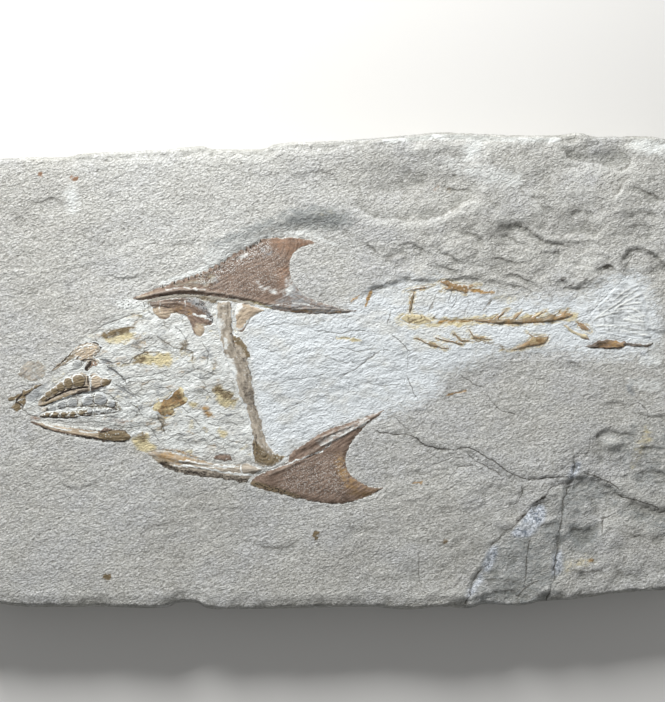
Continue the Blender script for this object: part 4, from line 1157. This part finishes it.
def make_bone(name, outlines, finish, rise, shoulder, edge=0.5, step=0.3, fibre=None, mottle=None,
              rods=(), domes=(), scales=(), patches=(), lines=(), worn=0.25, lapped=0.4, loose=1.0,
              smooth=0.7):
    """A bone carved from a fine net over its outlines, its rim lapped by the rock."""
    points = np.concatenate(outlines)
    low, high = points.min(0) - BONE_MARGIN, points.max(0) + BONE_MARGIN
    columns, rows = (np.ceil((high - low) / step)).astype(int) + 1
    grid = np.meshgrid(np.linspace(low[0], high[0], columns), np.linspace(low[1], high[1], rows))
    places = np.stack([axis.ravel() for axis in grid], axis=1)
    depth = depth_of(outlines, wandered(places, *BONE_WANDER))

    masks = {mask: np.zeros(len(places)) for mask in MASKS}
    zones = {"body": masks["tone"] * 0, "head": masks["tone"] * 0}
    paint(places, zones, [("body", 1.0, 3.0, BODY_ZONE), ("head", 1.0, 3.0, HEAD_ZONE)], [])
    masks["pale"] = np.maximum(zones["body"], 0.7 * zones["head"])
    inner = smoothstep(depth / 1.2)
    heights = ground(places) + face_detail(places, zones) * (1.0 - smooth * inner)
    heights += -BONE_COVER + (BONE_COVER + BONE_EDGE) * smoothstep(depth / edge + 0.3)
    heights += rise * smoothstep(depth / shoulder)
    tone = 0.5 * waves(places, 5.0, 31.0, 3) + 0.3 * waves(places, 0.9, 35.0, 2)
    if fibre:
        line, wavelength, amount, stretch = fibre
        line = smooth_path(line, 3.0)
        length = np.hypot(*np.diff(line, axis=0).T).sum()
        away, side, share = path_field(places, line, reach=60.0)
        strands = waves(np.stack([share * length, away * side], 1), wavelength, 9.0, 3, stretch)
        heights += amount * strands * inner
        tone += 0.7 * strands
    heights += 0.05 * waves(places, 0.8, 37.0, 2) * inner
    paint(places, masks, patches, lines, loose)
    if mottle:
        mask, strength, wavelength, threshold = mottle
        patchy = smoothstep((waves(places, wavelength, 25.0, 3) - threshold) / 0.35)
        masks[mask] = np.maximum(masks[mask], strength * patchy)
    for ridge, half, line in rods:  # a ridge has one height, or one at each end
        away, _, share = path_field(places, smooth_path(line, 1.5), reach=2 * half)
        start, end = np.broadcast_to(ridge, 2)
        ridge = start + (end - start) * share
        heights += ridge * (1.0 - smoothstep(away / half)) * smoothstep(depth / 0.3)
    for x, y, radius, dome in domes:
        reach = np.hypot(places[:, 0] - x, places[:, 1] - y) / radius
        heights += dome * np.maximum(0.0, 1.0 - reach ** 2) * inner
    lay_scales(places, heights, masks, scales)
    masks["tone"] = np.clip(tone, -1.0, 1.0)
    masks["hollow"] = hollowness(heights, columns, rows)
    masks["edge"] = worn * (1.0 - smoothstep(depth / 0.8))
    lap = 1.0 - smoothstep((depth + (0.2 + 0.6 * lapped) * waves(places, 2.2, 39.0, 3)) / lapped)
    masks["matrix"] = np.maximum(masks["matrix"], lap)

    bm = carved_net(places, heights, masks, columns, rows)
    skirt = bm.verts.layers.float.new("skirt")
    for vert in bm.verts:
        column = round((vert.co.x / MM - low[0]) / (high[0] - low[0]) * (columns - 1))
        row = round((vert.co.y / MM - low[1]) / (high[1] - low[1]) * (rows - 1))
        vert[skirt] = depth[row * columns + column]
    outside = [face for face in bm.faces if any(vert[skirt] < -BONE_SKIRT for vert in face.verts)]
    bmesh.ops.delete(bm, geom=outside, context="FACES")
    bm.verts.layers.float.remove(bm.verts.layers.float["skirt"])
    rim = [edge for edge in bm.edges if edge.is_boundary]
    wall = bmesh.ops.extrude_edge_only(bm, edges=rim)["geom"]
    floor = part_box(name)[0][2]
    for item in wall:
        if isinstance(item, bmesh.types.BMVert):
            item.co.z = floor
    foot = [item for item in wall if isinstance(item, bmesh.types.BMEdge) and item.is_boundary]
    bmesh.ops.triangle_fill(bm, edges=foot, use_beauty=True, use_dissolve=False)
    bmesh.ops.recalc_face_normals(bm, faces=bm.faces[:])
    if name == "upper_fin":
        add_thorns(bm)
    return mesh_object(name + "_bone", bm, FINISHES[finish])


def add_thorns(bm):
    """The small dark thorns that stand along the leading edge of the upper fin."""
    dark = bm.verts.layers.float["dark"]
    line = np.array(THORNS)
    leans = np.gradient(line, axis=0)
    heights = ground(line) + 0.2
    for (x, y), lean, z in zip(line, leans, heights):
        angle = math.atan2(lean[1], lean[0]) + math.radians(68)
        length = 0.9 + 0.3 * noise.noise((x, y, 2.0))
        turn = (Matrix.Translation((x * MM, y * MM, z * MM)) @ Matrix.Rotation(angle, 4, "Z")
                @ Matrix.Rotation(math.radians(62), 4, "Y"))
        made = bmesh.ops.create_cone(bm, cap_ends=True, segments=8, radius1=0.24 * MM,
                                     radius2=0.05 * MM, depth=length * MM,
                                     matrix=turn @ Matrix.Translation((0, 0, 0.35 * length * MM)))
        for vert in made["verts"]:
            vert[dark] = 0.3


# ---------------------------------------------------------------- finishes
def display(red, green, blue):
    """A colour given as it shows on a screen, 0 to 255, in the scene's linear values."""
    return tuple(((part / 255) / 12.92) if part < 10.3 else ((part / 255 + 0.055) / 1.055) ** 2.4
                 for part in (red, green, blue)) + (1.0,)


MASK_COLOURS = [
    ("body", display(226, 232, 235), 0.87), ("head", display(218, 220, 216), 0.8),
    ("vein", display(142, 147, 147), 0.8), ("yellow", display(208, 196, 158), 1.0),
    ("amber", display(166, 134, 88), 1.0), ("rust", display(146, 116, 94), 1.0),
    ("tan", display(184, 168, 146), 1.0), ("brown", display(122, 108, 84), 1.0),
    ("grey", display(155, 158, 159), 1.0), ("chalk", display(224, 227, 224), 1.0),
    ("dark", display(56, 48, 41), 1.0),
]


class Finish:
    """A material whose nodes are added one by one."""

    def __init__(self, name):
        self.material = bpy.data.materials.new(name)
        self.material.use_nodes = True
        self.tree = self.material.node_tree
        self.shader = self.tree.nodes["Principled BSDF"]
        self.place = self.add("TexCoord", {}).outputs["Object"]

    def add(self, kind, inputs, **settings):
        """Add a node; an input is a value or another node's socket."""
        made = self.tree.nodes.new("ShaderNode" + kind)
        for key, value in settings.items():
            setattr(made, key, value)
        for key, value in inputs.items():
            if isinstance(value, bpy.types.NodeSocket):
                self.tree.links.new(value, made.inputs[key])
            else:
                made.inputs[key].default_value = value
        return made

    def math(self, operation, first, second):
        """One sum of two values or sockets."""
        inputs = {0: first, 1: second}
        return self.add("Math", inputs, operation=operation).outputs[0]

    def times(self, first, second):
        return self.math("MULTIPLY", first, second)

    def ranged(self, value, low, high, to_low=0.0, to_high=1.0):
        """Carry low to high over to a new range, clamped and eased."""
        return self.add("MapRange", {"Value": value, "From Min": low, "From Max": high,
                                     "To Min": to_low, "To Max": to_high},
                        interpolation_type="SMOOTHSTEP").outputs[0]

    def mix(self, share, first, second):
        """The first colour, with a share of the second laid over it."""
        return self.add("Mix", {0: share, 6: first, 7: second}, data_type="RGBA").outputs[2]

    def mask(self, name):
        """A layer of the mesh, 0 where the mesh hasn't got it."""
        return self.add("Attribute", {}, attribute_name=name).outputs["Fac"]

    def drawn_out(self, stretch, turn, offset=0.0):
        """The place, drawn out along a direction in plan, in degrees."""
        laid = self.add("Mapping", {"Vector": self.place, "Rotation": (0, 0, math.radians(-turn)),
                                    "Location": (offset, offset, offset)})
        return self.add("Mapping", {"Vector": laid.outputs[0],
                                    "Scale": (1 / stretch, 1, 1)}).outputs[0]

    def cloud(self, millimetres, detail=3.0, roughness=0.55, stretch=1.0, turn=0.0, offset=0.0):
        """Noise whose features are the given size, drawn out along a direction in plan."""
        place = self.drawn_out(stretch, turn, offset)
        return self.add("TexNoise", {"Vector": place, "Scale": 1000 / millimetres,
                                     "Detail": detail, "Roughness": roughness}).outputs["Fac"]

    def warp(self, millimetres, amount):
        """Push the place about by noise, so that what is laid on it afterwards runs unevenly."""
        push = self.add("TexNoise", {"Vector": self.place, "Scale": 1000 / millimetres, "Detail": 2.0})
        push = self.add("VectorMath", {0: push.outputs["Color"], 1: (0.5, 0.5, 0.5)},
                        operation="SUBTRACT")
        push = self.add("VectorMath", {0: push.outputs[0], "Scale": 0.002 * amount}, operation="SCALE")
        self.place = self.add("VectorMath", {0: self.place, 1: push.outputs[0]}).outputs[0]

    def chips(self, millimetres, stretch=1.0, turn=0.0, feature="F1"):
        """How far each place is from the middle, or the edge, of a chip of about the given size."""
        place = self.drawn_out(stretch, turn)
        return self.add("TexVoronoi", {"Vector": place, "Scale": 1000 / millimetres},
                        feature=feature).outputs["Distance"]

    def total(self, *parts):
        """The sum of heights, each a socket and what it is multiplied by."""
        sum_so_far = 0.0
        for value, factor in parts:
            sum_so_far = self.add("Math", {0: value, 1: factor, 2: sum_so_far},
                                  operation="MULTIPLY_ADD").outputs[0]
        return sum_so_far

    def dots(self, millimetres, size):
        """Round dots a given distance apart, 1 in their middles, with their size as a share."""
        spots = self.add("TexVoronoi", {"Vector": self.place, "Scale": 1000 / millimetres})
        return self.ranged(spots.outputs["Distance"], size, 0.4 * size)

    def finish(self, colour, roughness, relief):
        """Join colour, roughness and a height in millimetres to the shader."""
        bump = self.add("Bump", {"Height": relief, "Distance": 0.001, "Strength": 1.0})
        self.tree.links.new(bump.outputs[0], self.shader.inputs["Normal"])
        self.tree.links.new(colour, self.shader.inputs["Base Color"])
        self.tree.links.new(roughness, self.shader.inputs["Roughness"])
        self.shader.inputs["Specular IOR Level"].default_value = 0.25
        return self.material


def stained(finish, colour, masks):
    """Lay the mask colours over a colour, each broken up into flecks where it is weak."""
    grain = finish.cloud(1.5, 4.0, 0.7, 1.6, 6.0, offset=0.3)
    for mask, tint, strength in masks:
        cover = finish.mask(mask)
        broken = finish.total((cover, 1.0), (grain, 1.7), (1.0, -0.85))
        share = finish.times(finish.ranged(broken, 0.0, 0.7), finish.ranged(cover, 0.0, 0.2))
        colour = finish.mix(finish.times(share, strength), colour, tint)
    return colour


def limestone():
    """Pale, fine-grained limestone: wavy flakes a millimetre across, stained round the fish."""
    rock = Finish("limestone_rock")
    drift = rock.cloud(26.0, 4.0, 0.6, offset=0.2)
    patch = rock.cloud(9.0, 3.0, 0.6, 1.5, 8.0, offset=0.5)
    rock.warp(2.0, 0.6)
    lumps = rock.cloud(4.6, 3.0, 0.6, 1.5, 6.0)
    grain = rock.cloud(0.95, 3.0, 0.75, 1.5, 26.0)
    speck = rock.cloud(0.5, 2.0, 0.7, 1.5, 24.0, offset=0.1)
    pocks = rock.cloud(1.9, 4.0, 0.75, 1.7, 30.0, offset=0.7)
    chip = rock.chips(0.85, 1.4, 20.0)
    seam = rock.chips(2.8, 1.9, 8.0, "DISTANCE_TO_EDGE")
    fibre = rock.cloud(0.9, 4.0, 0.7, 5.0, 9.0)
    calm = rock.math("MAXIMUM", rock.mask("body"), rock.mask("head"))

    spot = rock.add("SeparateXYZ", {0: rock.place}).outputs
    colour = rock.mix(rock.ranged(drift, 0.38, 0.62), display(191, 190, 185), display(194, 195, 195))
    colour = rock.mix(rock.ranged(patch, 0.40, 0.64, 0.0, 0.5), colour, display(204, 204, 198))
    bright = rock.times(rock.ranged(spot[1], 0.01, 0.05), rock.ranged(spot[0], 0.02, -0.04))
    bright = rock.times(bright, rock.ranged(spot[0], -0.115, -0.06, 0.0, 0.42))
    colour = rock.mix(bright, colour, display(226, 227, 223))
    colour = rock.mix(rock.ranged(grain, 0.50, 0.34, 0.0, 0.4), colour, display(150, 149, 141))
    colour = rock.mix(rock.ranged(chip, 0.46, 0.75, 0.0, 0.3), colour, display(142, 141, 133))
    colour = rock.mix(rock.ranged(speck, 0.50, 0.36, 0.0, 0.6), colour, display(136, 134, 126))
    colour = rock.mix(rock.ranged(speck, 0.50, 0.64, 0.0, 0.55), colour, display(226, 227, 223))
    pits = rock.ranged(pocks, 0.40, 0.32)
    colour = rock.mix(rock.times(pits, 0.45), colour, display(118, 116, 108))
    colour = stained(rock, colour, MASK_COLOURS[:2])
    seams = rock.times(rock.ranged(seam, 0.08, 0.01), rock.ranged(patch, 0.44, 0.58))
    seams = rock.times(seams, rock.total((rock.mask("head"), 0.7), (calm, 0.2)))
    colour = rock.mix(rock.times(seams, 0.6), colour, display(118, 113, 102))
    streaks = rock.times(rock.ranged(fibre, 0.46, 0.34), calm)
    colour = rock.mix(rock.times(streaks, 0.65), colour, display(146, 151, 154))
    warm = rock.times(rock.ranged(patch, 0.50, 0.66), rock.mask("body"))
    colour = rock.mix(rock.times(warm, 0.4), colour, display(208, 206, 196))
    colour = stained(rock, colour, MASK_COLOURS[2:3])
    crystal = rock.mix(rock.ranged(rock.cloud(1.1, 3.0, 0.7), 0.42, 0.56), display(136, 145, 156),
                       display(222, 228, 236))
    colour = rock.mix(rock.mask("calcite"), colour, crystal)
    colour = stained(rock, colour, MASK_COLOURS[3:])
    dotted = rock.times(rock.dots(0.9, 0.42), rock.mask("pits"))
    colour = rock.mix(dotted, colour, display(70, 64, 56))
    hollow = rock.mask("hollow")
    colour = rock.mix(rock.ranged(hollow, 0.03, 0.4, 0.0, 0.45), colour, display(122, 122, 114))
    colour = rock.mix(rock.ranged(hollow, -0.05, -0.4, 0.0, 0.35), colour, display(214, 215, 210))
    ragged = rock.total((rock.math("ABSOLUTE", rock.mask("side"), 0.0), 1.0), (grain, 2.0), (1.0, -1.0))
    gap = rock.times(rock.ranged(ragged, 1.3, 0.5), rock.mask("line"))
    colour = rock.mix(rock.times(gap, 0.8), colour, display(84, 80, 71))

    laid = rock.add("Mapping", {"Vector": rock.place, "Scale": BEDDING})
    bed = rock.add("TexNoise", {"Vector": laid.outputs[0], "Scale": 700.0, "Detail": 4.0,
                                "Roughness": 0.65}).outputs["Fac"]
    bed = rock.times(rock.ranged(bed, 0.40, 0.60), rock.mask("flank"))
    colour = rock.mix(rock.times(bed, 0.35), colour, display(142, 140, 130))

    south = rock.ranged(spot[1], -0.01, -0.05)
    relief = rock.total((lumps, 0.55), (grain, 0.7), (speck, 0.3), (chip, -0.2), (fibre, 0.32),
                        (pocks, 0.5), (pits, -0.15),
                        (rock.times(grain, rock.mask("vein")), 1.0),
                        (rock.times(grain, south), 0.4), (seams, -0.15), (gap, -0.2),
                        (bed, -0.5))
    rough = rock.ranged(grain, 0.3, 0.7, 0.86, 0.97)
    rough = rock.math("SUBTRACT", rough, rock.times(rock.mask("calcite"), 0.45))
    return rock.finish(colour, rough, relief)


def bone(name, light, dark, roughness, speckle):
    """Fossil bone: two tones that follow its fibres, fine speckle, stains and worn pale edges."""
    piece = Finish(name)
    piece.warp(1.5, 0.3)
    grain = piece.cloud(0.8, 4.0, 0.7)
    fine = piece.cloud(0.42, 2.0, 0.6)
    strands = piece.mask("tone")
    tone = piece.total((strands, 0.5), (grain, 1.0))
    colour = piece.mix(piece.ranged(tone, 0.05, 0.85), display(*dark), display(*light))
    fleck = piece.times(piece.ranged(fine, 0.60, 0.70), speckle)
    colour = piece.mix(fleck, colour, display(204, 198, 190))
    colour = stained(piece, colour, MASK_COLOURS[3:])
    specks = piece.times(piece.ranged(fine, 0.52, 0.62), piece.mask("specks"))
    colour = piece.mix(specks, colour, display(222, 221, 217))
    pits = piece.times(piece.dots(0.75, 0.5), piece.mask("pits"))
    colour = piece.mix(pits, colour, display(58, 54, 48))
    hollow = piece.mask("hollow")
    colour = piece.mix(piece.ranged(hollow, 0.03, 0.3, 0.0, 0.5), colour, display(74, 64, 54))
    colour = piece.mix(piece.ranged(hollow, -0.06, -0.3, 0.0, 0.3), colour, display(204, 196, 184))
    stone = piece.mix(piece.ranged(grain, 0.35, 0.6), display(150, 149, 141), display(206, 208, 204))
    stone = piece.mix(piece.mask("pale"), stone, display(213, 218, 220))
    broken = piece.total((piece.mask("matrix"), 1.0), (grain, 1.6), (1.0, -0.8))
    cover = piece.times(piece.ranged(broken, 0.2, 0.7),
                       piece.ranged(piece.mask("matrix"), 0.0, 0.2))
    colour = piece.mix(cover, colour, stone)
    worn = piece.times(piece.mask("edge"), piece.ranged(grain, 0.42, 0.58))
    colour = piece.mix(worn, colour, display(212, 209, 202))

    relief = piece.total((grain, 0.24), (fine, 0.12), (strands, 0.10), (pits, -0.15))
    rough = piece.ranged(grain, 0.3, 0.7, roughness - 0.08, roughness + 0.08)
    return piece.finish(colour, rough, relief)


FINISHES = {
    "limestone": limestone(),
    "bone_brown": bone("brown_bone", (137, 118, 104), (100, 83, 71), 0.62, 0.3),
    "bone_grey": bone("grey_bone", (178, 168, 153), (134, 126, 114), 0.70, 0.25),
    "bone_amber": bone("amber_bone", (160, 132, 92), (108, 84, 56), 0.55, 0.2),
    "bone_pale": bone("pale_bone", (222, 226, 227), (178, 182, 182), 0.80, 0.1),
    "tooth": bone("tooth_enamel", (180, 177, 166), (124, 119, 106), 0.45, 0.1),
}


# ---------------------------------------------------------------- assembly
OUTLINES = {name: outlines_of(name) for name in BONES}
slab = make_slab(FINISHES["limestone"], OUTLINES)
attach(slab, "root")
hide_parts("slab")
for name, spec in BONES.items():
    piece = make_bone(name, OUTLINES[name], **spec)
    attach(piece, "root")
    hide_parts(name)


# ---------------------------------------------------------------- floor, light and camera
def make_floor():
    """A plain pale floor under the slab."""
    bm = bmesh.new()
    bmesh.ops.create_grid(bm, x_segments=1, y_segments=1, size=3.0)
    plain = bpy.data.materials.new("plain_floor")
    plain.use_nodes = True
    shader = plain.node_tree.nodes["Principled BSDF"]
    shader.inputs["Base Color"].default_value = display(214, 213, 210)
    shader.inputs["Roughness"].default_value = 0.8
    floor = mesh_object("floor", bm, plain)


def aim(thing, place, target):
    """Put a light or the camera at a place and turn it to a target."""
    thing.location = place
    thing.rotation_euler = (Vector(target) - Vector(place)).to_track_quat("-Z", "Y").to_euler()


def make_light(name, place, size, power):
    """A square soft light that looks at the slab."""
    light = bpy.data.lights.new(name, "AREA")
    light.size = size
    light.energy = power
    lamp = bpy.data.objects.new(name, light)
    bpy.context.scene.collection.objects.link(lamp)
    aim(lamp, place, (0.0, 0.0, 0.02))


def make_camera():
    """The camera straight above the face, level with the slab's long edges."""
    camera = bpy.data.cameras.new("camera")
    camera.sensor_width = 36.0
    distance = 0.9
    picture_height = 0.2527  # what the longer side of the picture spans at the face
    camera.lens = camera.sensor_width * distance / picture_height
    made = bpy.data.objects.new("camera", camera)
    made.location = (-0.0009, 0.0072, FACE_HEIGHT * MM + distance)
    bpy.context.scene.collection.objects.link(made)
    bpy.context.scene.camera = made


make_floor()
make_light("key", (-0.22, 0.55, 0.36), 0.2, 7.5)
make_camera()
world = bpy.data.worlds.new("soft_room")
world.use_nodes = True
world.node_tree.nodes["Background"].inputs["Color"].default_value = (1.0, 1.0, 1.0, 1.0)
world.node_tree.nodes["Background"].inputs["Strength"].default_value = 0.30
bpy.context.scene.world = world
bpy.context.scene.view_settings.view_transform = "Standard"
